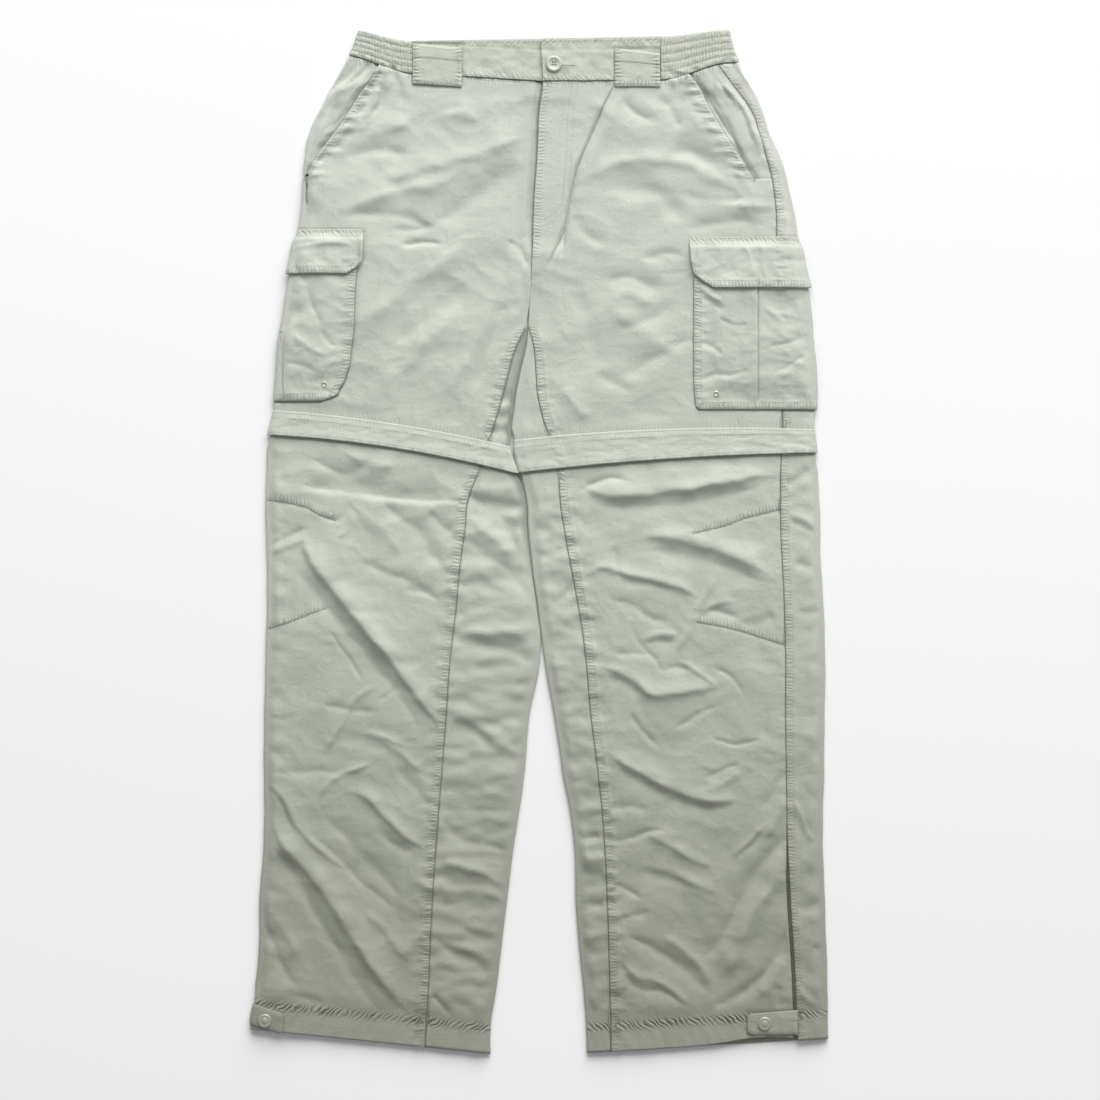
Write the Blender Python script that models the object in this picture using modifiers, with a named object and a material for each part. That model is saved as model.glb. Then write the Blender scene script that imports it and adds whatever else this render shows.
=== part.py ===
# Convertible zip-off trousers, laid flat with the front side up and the waist towards +Y.
# The tables and sizes are in millimetres, and MM turns them into metres once.
# "left" and "right" are as seen from above. Every panel is an open sheet with Solidify.
#
# Each leg is a flattened ring of cloth. A place on it is given by its height y on the
# garment and by u, the way round the ring: 0 at the outer edge, growing over the top to
# the inner edge at "length", and on underneath back to the outer edge at 2 * "length".

import math

import bmesh
import bpy
import numpy as np

MM = 0.001
COLLECTION = "convertible_trousers"

# Cloth sizes
WALL = 1.2          # one layer of cloth with its turned seam allowance
SEAM = 0.36         # gap between two pieces that are sewn edge to edge
LAYER = 1.8         # middle of one layer to the middle of the layer on it
FOLD = 2.0          # radius of a leg's edge, at the middle of the wall
QUARTER = FOLD * math.pi / 2.0
REST = WALL / 2.0   # height of the lowest layer's middle
MERGE = 0.00005     # metres

# The origin is the middle of the garment's outline, on the surface it lies on
ORIGIN_X = 0.6
ORIGIN_Y = -1.0

# Heights on the garment, measured along the inner edge or the centre seam
CROTCH = 234.0
DIP_REACH = 25.0
WAIST_TOP = 536.0
WAIST_SEAM = 491.0
NOTCH = {"left": 380.0, "right": 383.0}
FLAP_TOP = {"left": 101.0, "right": 108.0}
FLAP_FREE = {"left": 72.0, "right": 73.0}
ZIP_INSET = 6.0
HEM = {"left": -548.0, "right": -547.0}

# A row for each section across the garment. Above the crotch both inner edges are the
# centre seam, and both inseams lie on it.
SECTION_COLUMNS = ("y", "left_outer", "left_inseam", "left_inner",
                   "right_inner", "right_inseam", "right_outseam", "right_outer")
SECTIONS = (
    (549, -190, 3, 3, 3, 3, 173, 204),
    (515, -204, 4, 4, 4, 4, 188, 213),
    (502, -211, 5, 5, 5, 5, 197, 218),
    (487, -220, 5, 5, 5, 5, 208, 227),
    (466, -231, 2, 2, 2, 2, 224, 238),
    (437, -244, 0, 0, 0, 0, 236, 248),
    (412, -250, -1, -1, -1, -1, 243, 259),
    (370, -255, -4, -4, -4, -4, 252, 270),
    (312, -264, -6, -6, -6, -6, 254, 281),
    (254, -273, -9, -9, -9, -9, 257, 290),
    (234, -276, -11, -11, -11, -11, 258, 292),
    (210, -280, -22, -13, -13, -5, 259, 294),
    (178, -281, -32, -20, -20, -2, 260, 297),
    (140, -285, -42, -26, -26, 3, 261, 297),
    (108, -289, -52, -28, -28, 13, 261, 298),
    (76, -290, -62, -22, -22, 21, 259, 300),
    (50, -291, -73, -14, -14, 23, 259, 301),
    (13, -291, -78, -11, -11, 28, 259, 302),
    (-32, -290, -84, -6, -6, 36, 261, 303),
    (-76, -290, -88, 0, 0, 44, 263, 306),
    (-117, -291, -93, 3, 5, 50, 264, 307),
    (-183, -293, -98, -8, 16, 56, 264, 307),
    (-248, -293, -103, -14, 26, 64, 265, 306),
    (-325, -294, -109, -25, 38, 71, 266, 305),
    (-387, -298, -113, -33, 40, 74, 268, 307),
    (-448, -300, -116, -40, 45, 76, 272, 309),
    (-491, -305, -118, -46, 49, 77, 274, 310),
    (-518, -309, -120, -50, 51, 78, 275, 310),
    (-550, -309, -121, -50, 52, 78, 276, 310),
)
LEFT_OUTSEAM = -18.0    # the left outseam lies underneath, this far round the edge
SIGN = {"left": 1.0, "right": -1.0}

# How a row of cloth runs across a leg from its inner end: slope, bow in its middle, and
# how far the elastic at the side pulls it up
ROW_COLUMNS = ("y", "tilt", "bow", "hike")
ROW_LINES = {
    "left": (
        (536, 0.015, 0.0, 15.0),
        (491, -0.060, 0.0, 16.0),
        (386, -0.020, 0.0, 3.0),
        (234, -0.050, 0.0, 0.0),
        (101, -0.152, 5.5, 0.0),
        (72, -0.155, 7.0, 0.0),
        (-170, -0.130, 0.0, 0.0),
        (-548, -0.104, 0.0, 0.0),
    ),
    "right": (
        (536, 0.020, 0.0, 6.0),
        (491, 0.010, 0.0, 18.0),
        (386, 0.000, 0.0, 3.0),
        (234, 0.030, 0.0, 0.0),
        (108, 0.035, 6.0, 0.0),
        (73, 0.067, 4.0, 0.0),
        (-170, 0.060, 0.0, 0.0),
        (-547, 0.058, 0.0, 0.0),
    ),
}
HIKE_SPAN = 76.0

# Slant pocket openings, from the waist seam down to the notch
OPENING_COLUMNS = ("y", "x")
OPENINGS = {
    "left": ((512, -168), (506, -171), (472, -194), (453, -206), (429, -223), (405, -240),
             (388, -249)),
    "right": ((512, 151), (506, 155), (488, 170), (466, 182), (440, 197), (413, 214), (386, 231)),
}
POCKET_TUCK = 8.0       # how far the facing runs on under the front
BAND_WIDTH = 13.0       # stitched band of the front along the opening, raised by one layer
BAND_FADE = 14.0

# Fly
FLY_END = 318.0
FLY_UNDERLAP = 12.0
FLY_BAND = 25.0
FLY_FADE = 18.0
FLY_LEAD = 32.0         # the raised strip starts this far below the end of the fly
FLY_LEAD_RUN = 26.0

# Waistband
ELASTIC_START = {"left": -134.0, "right": 131.0}    # x of the seam beside the wide loop
ELASTIC_WRAP = 40.0                                 # how far it runs round to the back
ELASTIC_RIBS = 4
RIB_HEIGHT = 0.8
WAIST_UNDERLAP = 20.0

# Side pockets of the legs. The right one ends at the edge, the left one wraps round it.
CARGO_WRAP = 62.0
CARGO = {
    "left": {"top": 316.0, "bottom": 149.0, "pleat": -272.0, "eyelet": (-228.0, 167.0)},
    "right": {"top": 308.0, "bottom": 140.0, "pleat": 234.0, "eyelet": (190.0, 157.0)},
}
CARGO_FRONT_COLUMNS = ("y", "x")
CARGO_FRONTS = {
    "left": ((316, -192), (258, -195), (204, -199), (178, -204), (162, -212), (153, -220),
             (149, -232)),
    "right": ((308, 166), (250, 166), (190, 166), (156, 167), (147, 168), (143, 169), (140, 172)),
}
CARGO_PUFF = 2.6
CARGO_PUFF_EDGE = 13.0
PLEAT_HEIGHT = 1.6
PLEAT_RUN = 16.0        # the pleat rises slowly to its crest
PLEAT_DROP = 1.6        # and falls over this short way
FLAP_WRAP = 64.0
FLAP_SEAM = 4.0         # sewn strip at the flap's top, flat on the front
FLAP_CLIMB = 13.0       # where it has climbed onto the pocket
FLAP_EASE = 0.2
FLAP_COLUMNS = ("y", "x")
FLAPS = {
    "left": {"top": 333.0, "bottom": 285.0,
             "front": ((333, -186), (299, -187), (292, -193), (285, -204))},
    "right": {"top": 325.0, "bottom": 270.0,
              "front": ((325, 161), (300, 163), (285, 166), (278, 175), (270, 188))},
}

# Where the left leg is lifted off the floor by what wraps round its edge: each lift starts
# at y and takes this run
LIFT_COLUMNS = ("y", "run")
LEFT_LIFTS = {"pocket": (100.0, 40.0), "flap": (150.0, 110.0), "end": (345.0, 95.0)}
LIFT_REACH = 104.0      # how far in from the edge the lift stays full
LIFT_FADE = 34.0

# Largest folds of the fronts: a soft ridge (height above 0) or trough (below 0)
FOLD_COLUMNS = ("x1", "y1", "x2", "y2", "width", "height")
FOLDS = (
    (-222, -20, -94, -188, 13, 5.0),
    (-252, -28, -108, -213, 11, -2.6),
    (-255, -331, -142, -491, 14, 5.0),
    (-276, -340, -163, -500, 11, -2.6),
    (56, 62, 250, 70, 9, 5.5),
    (56, 44, 250, 54, 9, -2.4),
    (232, -318, 168, -428, 15, 5.0),
    (255, -345, 176, -450, 11, -2.6),
    (110, -238, 196, -266, 12, 3.0),
    (107, -252, 198, -282, 9, -2.4),
    (120, 18, 240, -20, 12, 3.6),
    (109, 0, 238, -38, 9, -2.4),
    (-126, 324, -28, 420, 15, 4.4),
    (-104, 330, -22, 398, 11, -2.4),
    (-206, 380, -94, 424, 13, 3.6),
    (-185, 362, -94, 400, 11, -2.2),
    (-190, 160, -84, 262, 16, 4.0),
    (84, 470, 46, 330, 10, 3.2),
    (76, 258, 160, 224, 15, 3.2),
    (92, 180, 166, 216, 12, -2.2),
    (-236, 54, -96, 38, 9, 3.0),
    (178, -58, 150, -120, 8, 3.0),
    (90, 400, 205, 388, 15, 3.0),
)
FOLD_TAPER = 0.12       # share of its length over which a fold fades at each end
LOFT = 1.4              # how far a top layer stands off the layer under it
LOFT_EDGE = 26.0

# Fastenings
BUTTON = {"x": 17.0, "y": 509.0, "radius": 8.5, "height": 2.8, "hole": 1.0, "hole_at": 1.9}
SNAP_RADIUS = 7.5
EYELET_RADIUS = 3.2
SNAPS = {"left": (-291.5, -512.0), "right": (242.0, -515.5)}
TAB_LEFT = {"reach": 36.0, "wrap": 16.0, "top": -494.0, "bottom": -516.0, "slope": -0.30}
TAB_RIGHT = {"front": 223.5, "back": 277.5, "top": -505.0, "bottom": -527.5}
SLIT = {"top": -300.0, "full": -375.0, "width": 4.6, "tape": 11.0}
HEM_RISE = {"x": 240.0, "half": 44.0, "height": 6.0}

# Belt loops: the wide front ones by their corners in x and y, the back ones by their x
LOOP_COLUMNS = ("side", "x1", "x2", "top1", "top2", "low1", "low2")
FRONT_LOOPS = (
    ("left", -134.0, -81.0, 531.0, 526.0, 488.5, 484.5),
    ("right", 82.0, 130.5, 526.0, 520.0, 485.0, 485.0),
)
BACK_LOOPS = {"belt_loop_back_left": -95.0, "belt_loop_back_centre": 4.0, "belt_loop_back_right": 103.0}
BACK_LOOP_WIDTH = 12.0
WAIST_LIFT_BELOW = 14.0
WAIST_SOFT = 15.0
KNEE_OVER = 4.0
KNEE_SOFT = 14.0

# Colours: upper cloth, waistband, lower legs, trims
SAGE = (0.58, 0.63, 0.55)
SAGE_BAND = (0.52, 0.55, 0.47)
SAGE_SHADE = (0.50, 0.54, 0.46)
SAGE_LEG = (0.40, 0.44, 0.36)
TAPE = (0.26, 0.28, 0.23)
BUTTON_COLOUR = (0.60, 0.62, 0.52)
METAL = (0.42, 0.43, 0.38)


def table(columns, rows, name):
    # one named column of a table, with its rows in rising y
    order = sorted(rows)
    return np.array([row[columns.index(name)] for row in order], dtype=float)


SECTION = {name: table(SECTION_COLUMNS, SECTIONS, name) for name in SECTION_COLUMNS}


def smoothstep(value):
    value = np.clip(value, 0.0, 1.0)
    return value * value * (3.0 - 2.0 * value)


def within(value, low, high, soft):
    # 1 between low and high, falling to 0 over the distance soft outside them
    return smoothstep((value - low) / soft + 1.0) * smoothstep((high - value) / soft + 1.0)


def smooth_at(value, places, heights):
    # a smooth curve through the rows of a table
    slopes = np.gradient(heights, places)
    value = np.clip(value, places[0], places[-1])
    index = np.clip(np.searchsorted(places, value) - 1, 0, len(places) - 2)
    span = places[index + 1] - places[index]
    t = (value - places[index]) / span
    start = heights[index] + slopes[index] * span * t
    end = heights[index + 1] - slopes[index + 1] * span * (1.0 - t)
    blend = t * t * (3.0 - 2.0 * t)
    return start * (1.0 - blend) + end * blend


def section_at(y, name):
    return smooth_at(y, SECTION["y"], SECTION[name])


def knee_mask(side, y):
    # 1 over the storm flap's ring, measured at the inner edge
    return within(y, FLAP_FREE[side] - 3.0, FLAP_TOP[side] + 3.0, 10.0)


def knee_cover(side, x, y):
    # the same anywhere on a panel
    low = row_line(side, FLAP_FREE[side], x) - KNEE_OVER
    return within(y, low, row_line(side, FLAP_TOP[side], x) + KNEE_OVER, KNEE_SOFT)


def waist_cover(side, x, y):
    # 1 under the waistband and the seam below it
    return smoothstep((y - row_line(side, WAIST_SEAM - WAIST_LIFT_BELOW, x)) / WAIST_SOFT + 1.0)


def side_layers(y):
    # layers under the left leg's outer edge: the pocket, its flap, and the hem's tab
    lifts = {}
    for name, row in LEFT_LIFTS.items():
        start = row[LIFT_COLUMNS.index("y")]
        lifts[name] = smoothstep((y - start) / row[LIFT_COLUMNS.index("run")])
    cargo = (lifts["pocket"] + lifts["flap"]) * (1.0 - lifts["end"])
    return np.maximum(cargo, within(y, TAB_LEFT["bottom"] - 14.0, TAB_LEFT["top"] + 8.0, 16.0))


def outer_layers(side, y):
    # how many layers the outer edge is set in by, so that the outline stays
    tilt = 40.0 if side == "left" else 16.0
    layers = within(y, FLAP_FREE[side] + tilt - 4.0, FLAP_TOP[side] + tilt + 4.0, 10.0)
    return np.maximum(layers, side_layers(y)) if side == "left" else layers


def edges(side, y):
    # the leg's flat ring at the height y
    sign = SIGN[side]
    dip = smoothstep((CROTCH + DIP_REACH - y) / DIP_REACH)
    gap = SEAM / 2.0 + dip * (WALL / 2.0 + 0.1) + LAYER * knee_mask(side, y)
    outer = section_at(y, side + "_outer") + sign * (WALL / 2.0 + LAYER * outer_layers(side, y))
    inner = section_at(y, side + "_inner") - sign * gap
    width = (inner - outer) * sign
    length = width - 2.0 * FOLD + 2.0 * QUARTER
    return {"outer": outer, "inner": inner, "width": width, "length": length, "dip": dip}


def row_line(side, station, x):
    # height of the row that starts at this station of the inner edge, at the place x
    rows = ROW_LINES[side]
    stations = table(ROW_COLUMNS, rows, "y")
    tilt, bow, hike = (np.interp(station, stations, table(ROW_COLUMNS, rows, name))
                       for name in ("tilt", "bow", "hike"))
    ring = edges(side, station)
    away = np.abs(x - ring["inner"])
    part = np.clip(away / ring["width"], 0.0, 1.0)
    pulled = np.clip((ELASTIC_START[side] - x) * SIGN[side] / HIKE_SPAN, 0.0, 1.15)
    return station + tilt * (x - ring["inner"]) + 4.0 * bow * part * (1.0 - part) + hike * pulled


def u_at_x(side, ring, x):
    # the way round the ring to the place x on its top
    along = np.clip((x - ring["outer"]) * SIGN[side], 0.0, None)
    turn = np.arccos(np.clip(1.0 - along / FOLD, -1.0, 1.0)) * FOLD
    return np.where(along < FOLD, turn, QUARTER + along - FOLD)


def opening_x(side, y):
    rows = OPENINGS[side]
    return smooth_at(y, table(OPENING_COLUMNS, rows, "y"), table(OPENING_COLUMNS, rows, "x"))


def opening_end(side):
    rows = OPENINGS[side]
    return table(OPENING_COLUMNS, rows, "x")[0], table(OPENING_COLUMNS, rows, "y")[0]


def notch_x(side):
    # where the row of the notch meets the opening's edge
    x = opening_x(side, NOTCH[side])
    for _ in range(6):
        x = opening_x(side, row_line(side, NOTCH[side], x))
    return x


def opening_distance(side, x, y):
    # how far a place on the front lies from the edge of the slant pocket
    end_y = opening_end(side)[1]
    inward = np.clip((x - opening_x(side, y)) * SIGN[side], 0.0, None) * 0.8
    below = np.clip(end_y - y, 0.0, None)
    return np.hypot(inward, below)


def band_raise(side, x, y):
    # the front lies on the facing along the opening
    return LAYER * (1.0 - smoothstep((opening_distance(side, x, y) - BAND_WIDTH) / BAND_FADE))


def fly_raise(x, y):
    # the right front and waistband lie on the left ones along the fly
    away = x - section_at(y, "right_inner")
    across = 1.0 - smoothstep((away - FLY_BAND) / FLY_FADE)
    return LAYER * across * smoothstep((y - FLY_END + FLY_LEAD) / FLY_LEAD_RUN)


def lift(side, x, y):
    # panels stand off the floor where other layers lie under them
    height = np.maximum(waist_cover(side, x, y), knee_cover(side, x, y))
    if side == "left":
        inward = x - section_at(y, "left_outer")
        reach = np.where(y > 0.0, LIFT_REACH, TAB_LEFT["reach"] + 6.0)
        fade = 1.0 - smoothstep((inward - reach) / LIFT_FADE)
        height = np.maximum(height, side_layers(y) * fade)
    return LAYER * height


def calm(side, x, y):
    # folds die away where another piece lies on the panel, and at the seams that overlap
    sign = SIGN[side]
    left = section_at(y, "left_outer")
    right = section_at(y, "right_outer")
    flap = FLAPS[side]
    front = table(FLAP_COLUMNS, flap["front"], "x")
    edge = front.max() if side == "left" else front.min()
    inside = edge + 8.0 * sign
    cargo = within(y, CARGO[side]["bottom"] - 6.0, flap["top"] + 12.0, 16.0)
    cargo = cargo * smoothstep((inside - x) * sign / 16.0 + 1.0)
    fly = 1.0 - smoothstep((np.abs(x - section_at(y, "right_inner")) - 15.0) / 14.0)
    fly = fly * smoothstep((y - FLY_END + 40.0) / 20.0)
    pocket = 1.0 - smoothstep((opening_distance(side, x, y) - 10.0) / 14.0)
    pocket = pocket * smoothstep((y - 350.0) / 20.0)
    hem = 1.0 - smoothstep((y - row_line(side, HEM[side], x) - 6.0) / 30.0)
    tab = within(y, -532.0, -488.0, 14.0) * np.maximum(
        1.0 - smoothstep((x - left - 50.0) / 14.0), 1.0 - smoothstep((right - x - 100.0) / 14.0))
    slit = 1.0 - smoothstep((np.abs(x - section_at(y, "right_outseam")) - 13.0) / 12.0)
    slit = slit * smoothstep((SLIT["top"] + 26.0 - y) / 20.0)
    cover = cargo
    for part in (knee_cover(side, x, y), waist_cover(side, x, y), fly, pocket, hem, tab, slit):
        cover = np.maximum(cover, part)
    return 1.0 - cover


def bulge(side, x, y, from_outer, from_inner):
    # height of the top layer over its flat place: loft and the largest folds
    height = np.full(np.shape(x), LOFT)
    for row in FOLDS:
        fold = dict(zip(FOLD_COLUMNS, row))
        run_x = fold["x2"] - fold["x1"]
        run_y = fold["y2"] - fold["y1"]
        run = math.hypot(run_x, run_y)
        along = ((x - fold["x1"]) * run_x + (y - fold["y1"]) * run_y) / run
        across = ((x - fold["x1"]) * run_y - (y - fold["y1"]) * run_x) / run
        reach = within(along, FOLD_TAPER * run, (1.0 - FOLD_TAPER) * run, 0.3 * run)
        height = height + fold["height"] * reach * np.exp(-(across / fold["width"]) ** 2)
    inner_edge = 1.0 - smoothstep((CROTCH + 55.0 - y) / 45.0)
    edge = smoothstep((from_outer - QUARTER) / LOFT_EDGE)
    edge = edge * np.maximum(inner_edge, smoothstep((from_inner - QUARTER) / LOFT_EDGE))
    return np.clip(height, -1.0, None) * edge * calm(side, x, y)


def ring_point(side, y, u, out, open_end=False):
    # the place on the ring at y and u, moved outwards by out
    ring = edges(side, y)
    length = ring["length"]
    # past the outer edge again the cloth lies on top
    u = np.where(u > 2.0 * length, u - 2.0 * length, u)
    beyond = u > length
    under = (u < 0.0) | (beyond & (not open_end))
    v = np.where(u < 0.0, -u, np.where(beyond & (not open_end), 2.0 * length - u, u))
    from_end = length - v
    turn_out = np.clip(v, 0.0, QUARTER) / FOLD
    turn_in = np.clip(QUARTER - from_end, 0.0, QUARTER) / FOLD
    at_outer = v < QUARTER
    at_inner = from_end < QUARTER
    along = np.where(at_outer, FOLD * (1.0 - np.cos(turn_out)), FOLD + v - QUARTER)
    along = np.where(at_inner, ring["width"] - FOLD * (1.0 - np.sin(turn_in)), along)
    along = along + np.clip(-from_end, 0.0, None)
    rise = np.where(at_outer, FOLD * np.sin(turn_out), FOLD)
    rise = np.where(at_inner, FOLD * (1.0 - ring["dip"] * (1.0 - np.cos(turn_in))), rise)
    lean = np.where(at_outer, -np.cos(turn_out), 0.0)
    lean = np.where(at_inner, ring["dip"] * np.sin(turn_in), lean)
    stand = np.sqrt(1.0 - lean * lean)
    x = ring["outer"] + SIGN[side] * (along + out * lean)
    high = np.where(under, 0.0, bulge(side, x, y, v, from_end))
    z = REST + FOLD + np.where(under, -1.0, 1.0) * (rise + out * stand) + lift(side, x, y) + high
    return x, z


def place_rows(side, stations, knots, spans, outward, open_end=False):
    # points of a sheet: one row for each station, with the columns shared out between knots
    stations = np.asarray(stations, dtype=float)
    marks = [0.0]
    for count in spans:
        marks += [marks[-1] + (step + 1.0) / count for step in range(count)]
    marks = np.array([min(mark, len(spans)) for mark in marks])
    station = np.repeat(stations[:, None], len(marks), axis=1)
    mark = np.repeat(marks[None, :], len(stations), axis=0)
    y = station.copy()
    for _ in range(4):
        ring = edges(side, y)
        heights = knots(ring, y, station)
        u = np.zeros_like(y)
        for index in range(len(spans)):
            part = np.clip(mark - index, 0.0, 1.0)
            chosen = (mark >= index) if index else np.full(mark.shape, True)
            u = np.where(chosen, heights[index] + part * (heights[index + 1] - heights[index]), u)
        x = ring_point(side, y, u, 0.0, open_end)[0]
        y = row_line(side, station, x)
    out = outward(x, y, u) if callable(outward) else outward
    x, z = ring_point(side, y, u, out, open_end)
    return np.stack([x, y, z], axis=2)


def add_object(name, mesh, colour, roughness=0.85, metallic=0.0):
    material = bpy.data.materials.new(name)
    material.use_nodes = True
    shader = material.node_tree.nodes["Principled BSDF"]
    shader.inputs["Base Color"].default_value = (*colour, 1.0)
    shader.inputs["Roughness"].default_value = roughness
    shader.inputs["Metallic"].default_value = metallic
    mesh.materials.append(material)
    thing = bpy.data.objects.new(name, mesh)
    parts.objects.link(thing)
    return thing


def sheet(name, rows, colour, breaks=(), closed=False, flip=False):
    # a wall of cloth on a grid of points; no faces cross the rows named in breaks
    shape = bmesh.new()
    count = rows.shape[1]
    centre = np.array([ORIGIN_X, ORIGIN_Y, 0.0])
    points = [[shape.verts.new((point - centre) * MM) for point in row] for row in rows]
    for i in range(len(points) - 1):
        if i in breaks:
            continue
        for j in range(count if closed else count - 1):
            k = (j + 1) % count
            corners = [points[i][j], points[i + 1][j], points[i + 1][k], points[i][k]]
            shape.faces.new(corners[::-1] if flip else corners)
    bmesh.ops.remove_doubles(shape, verts=shape.verts, dist=MERGE)
    loose = [vert for vert in shape.verts if not vert.link_faces]
    bmesh.ops.delete(shape, geom=loose, context="VERTS")
    mesh = bpy.data.meshes.new(name)
    shape.to_mesh(mesh)
    shape.free()
    mesh.shade_smooth()
    thing = add_object(name, mesh, colour)
    wall = thing.modifiers.new("Wall", "SOLIDIFY")
    wall.thickness = WALL * MM
    wall.offset = 0.0
    return thing


def stations_between(start, end, pitch):
    count = max(1, round(abs(end - start) / pitch))
    return list(np.linspace(start, end, count + 1))


def wrap_depth(side, y):
    # how far the back panel comes over the inner edge onto the top
    leg = SECTION["y"] <= CROTCH
    depth = np.abs(SECTION[side + "_inner"] - SECTION[side + "_inseam"])[leg]
    return np.where(y < CROTCH, np.clip(smooth_at(y, SECTION["y"][leg], depth), 0.0, None), 0.0)


def seam_half(y):
    # half the gap at the inseam, wider where the edges stand on end at the crotch
    return SEAM / 2.0 + 0.4 * within(y, CROTCH - 18.0, CROTCH + 6.0, 10.0)


def slit_half(side, y):
    if side == "left":
        return SEAM / 2.0
    opened = smoothstep((SLIT["top"] - y) / (SLIT["top"] - SLIT["full"]))
    return (SEAM + (SLIT["width"] - SEAM) * opened) / 2.0


def outseam_u(side, ring, y):
    if side == "left":
        return np.full(np.shape(y), LEFT_OUTSEAM)
    return u_at_x(side, ring, section_at(y, "right_outseam"))


def inseam_u(side, ring, y):
    return ring["length"] - wrap_depth(side, y)


def clamp_all(knots, low, high):
    return [np.minimum(np.maximum(knot, low), high) for knot in knots]


def front_knots(side, above_notch=None, underlap=0.0, slit=False):
    # outer limit, edge fold, the elastic's seam, inner fold, inner limit
    def knots(ring, y, station):
        low = outseam_u(side, ring, y) + (slit_half(side, y) if slit else SEAM / 2.0)
        if above_notch is not None:
            opening = u_at_x(side, ring, opening_x(side, y))
            low = np.where(above_notch[:, None], opening, low)
        tuck = underlap * smoothstep((y - FLY_END - 4.0) / 6.0)
        high = inseam_u(side, ring, y) - seam_half(y) + tuck
        inner = ring["length"] - QUARTER
        seam = u_at_x(side, ring, ELASTIC_START[side])
        marks = [low, -QUARTER + 0.0 * y, 0.0 * y, QUARTER + 0.0 * y, seam, inner, high]
        if above_notch is not None:
            # the rows above and below the notch share their points from its corner inwards
            marks.insert(4, u_at_x(side, ring, notch_x(side)))
        return clamp_all(marks, low, high)
    return knots


def back_knots(side, slit=False):
    # from the inseam over the inner fold, underneath, and round to the outseam
    def knots(ring, y, station):
        whole = 2.0 * ring["length"]
        half = ring["length"]
        seam = u_at_x(side, ring, ELASTIC_START[side])
        low = inseam_u(side, ring, y) + seam_half(y)
        high = whole + outseam_u(side, ring, y) - (slit_half(side, y) if slit else SEAM / 2.0)
        marks = [low, half - QUARTER, half, half + QUARTER, whole - seam, whole - 0.5 * seam,
                 whole - QUARTER, whole, whole + QUARTER, high]
        return clamp_all(marks, low, high)
    return knots


def front_out(side, fly):
    def out(x, y, u):
        raised = band_raise(side, x, y)
        return np.maximum(raised, fly_raise(x, y)) if fly else raised
    return out


def build_shorts(side):
    zip_top = FLAP_TOP[side] - ZIP_INSET + SEAM / 2.0
    lifted = WAIST_SEAM - WAIST_LIFT_BELOW
    upper = [WAIST_SEAM - SEAM / 2.0] + stations_between(lifted, lifted - 18.0, 20.0)[:-1]
    upper += stations_between(lifted - 18.0, NOTCH[side], 20.0)
    middle = stations_between(NOTCH[side], CROTCH, 21.0)
    knee = FLAP_TOP[side]
    lower = stations_between(CROTCH, knee + 20.0, 21.0) + [knee + 5.0, zip_top]
    rows = upper + middle + lower[1:]
    above = np.array([index < len(upper) for index in range(len(rows))])
    fly = side == "right"
    knots = front_knots(side, above, 0.0 if fly else FLY_UNDERLAP)
    spans = (1, 2, 2, 1, 5, 6, 2)
    points = place_rows(side, rows, knots, spans, front_out(side, fly), True)
    sheet("front_panel_" + side, points, SAGE, breaks={len(upper) - 1}, flip=fly)
    rows = upper + middle[1:] + lower[1:]
    points = place_rows(side, rows, back_knots(side), (2, 2, 2, 2, 2, 1, 2, 2, 2), 0.0)
    sheet("back_panel_" + side, points, SAGE_SHADE, flip=fly)


def build_facing(side):
    tuck = POCKET_TUCK
    lifted = WAIST_SEAM - WAIST_LIFT_BELOW
    rows = [WAIST_SEAM - SEAM / 2.0, lifted]
    rows += stations_between(lifted - 18.0, NOTCH[side], 20.0) + [NOTCH[side] - tuck]

    def knots(ring, y, station):
        low = outseam_u(side, ring, y) + SEAM / 2.0
        high = u_at_x(side, ring, opening_x(side, y)) + tuck
        return clamp_all([low, -QUARTER + 0.0 * y, 0.0 * y, QUARTER + 0.0 * y, high], low, high)

    points = place_rows(side, rows, knots, (1, 2, 2, 3), 0.0)
    sheet("pocket_facing_" + side, points, SAGE_SHADE, flip=side == "right")


def build_lower_leg(side):
    zip_low = FLAP_FREE[side] + ZIP_INSET - SEAM / 2.0
    flip = side == "right"
    knee = FLAP_FREE[side]
    rows = [zip_low, knee - 5.0] + stations_between(knee - 20.0, HEM[side], 27.0)
    spans = (1, 2, 2, 5, 4, 1)
    points = place_rows(side, rows, front_knots(side, slit=True), spans, 0.0)
    if side == "right":
        rise = HEM_RISE["height"] * np.exp(-((points[-1, :, 0] - HEM_RISE["x"]) / HEM_RISE["half"]) ** 2)
        points[-1, :, 1] += rise
    sheet("lower_front_" + side, points, SAGE_LEG, flip=flip)
    spans = (4 if side == "left" else 2, 2, 2, 2, 2, 1, 2, 2, 2)
    points = place_rows(side, rows, back_knots(side, slit=True), spans, 0.0)
    sheet("lower_back_" + side, points, SAGE_LEG, flip=flip)


def build_knee_ring(name, side, stations, out, colour):
    def knots(ring, y, station):
        half = ring["length"]
        marks = [0.0, QUARTER, half - QUARTER, half, half + QUARTER, 2.0 * half - QUARTER, 2.0 * half]
        return [mark + 0.0 * y for mark in marks]

    points = place_rows(side, stations, knots, (2, 10, 2, 2, 6, 2), out)
    sheet(name, points[:, :-1], colour, closed=True, flip=side == "right")


def build_knee(side):
    top = FLAP_TOP[side]
    free = FLAP_FREE[side]
    tape = [top - ZIP_INSET - SEAM, free + ZIP_INSET + SEAM]
    build_knee_ring("knee_zip_" + side, side, tape, 0.0, TAPE)
    build_knee_ring("knee_flap_" + side, side, [top, (top + free) / 2.0, free], LAYER, SAGE)


def waist_rows(count):
    return list(np.linspace(WAIST_SEAM + SEAM / 2.0, WAIST_TOP, count + 1))


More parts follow.
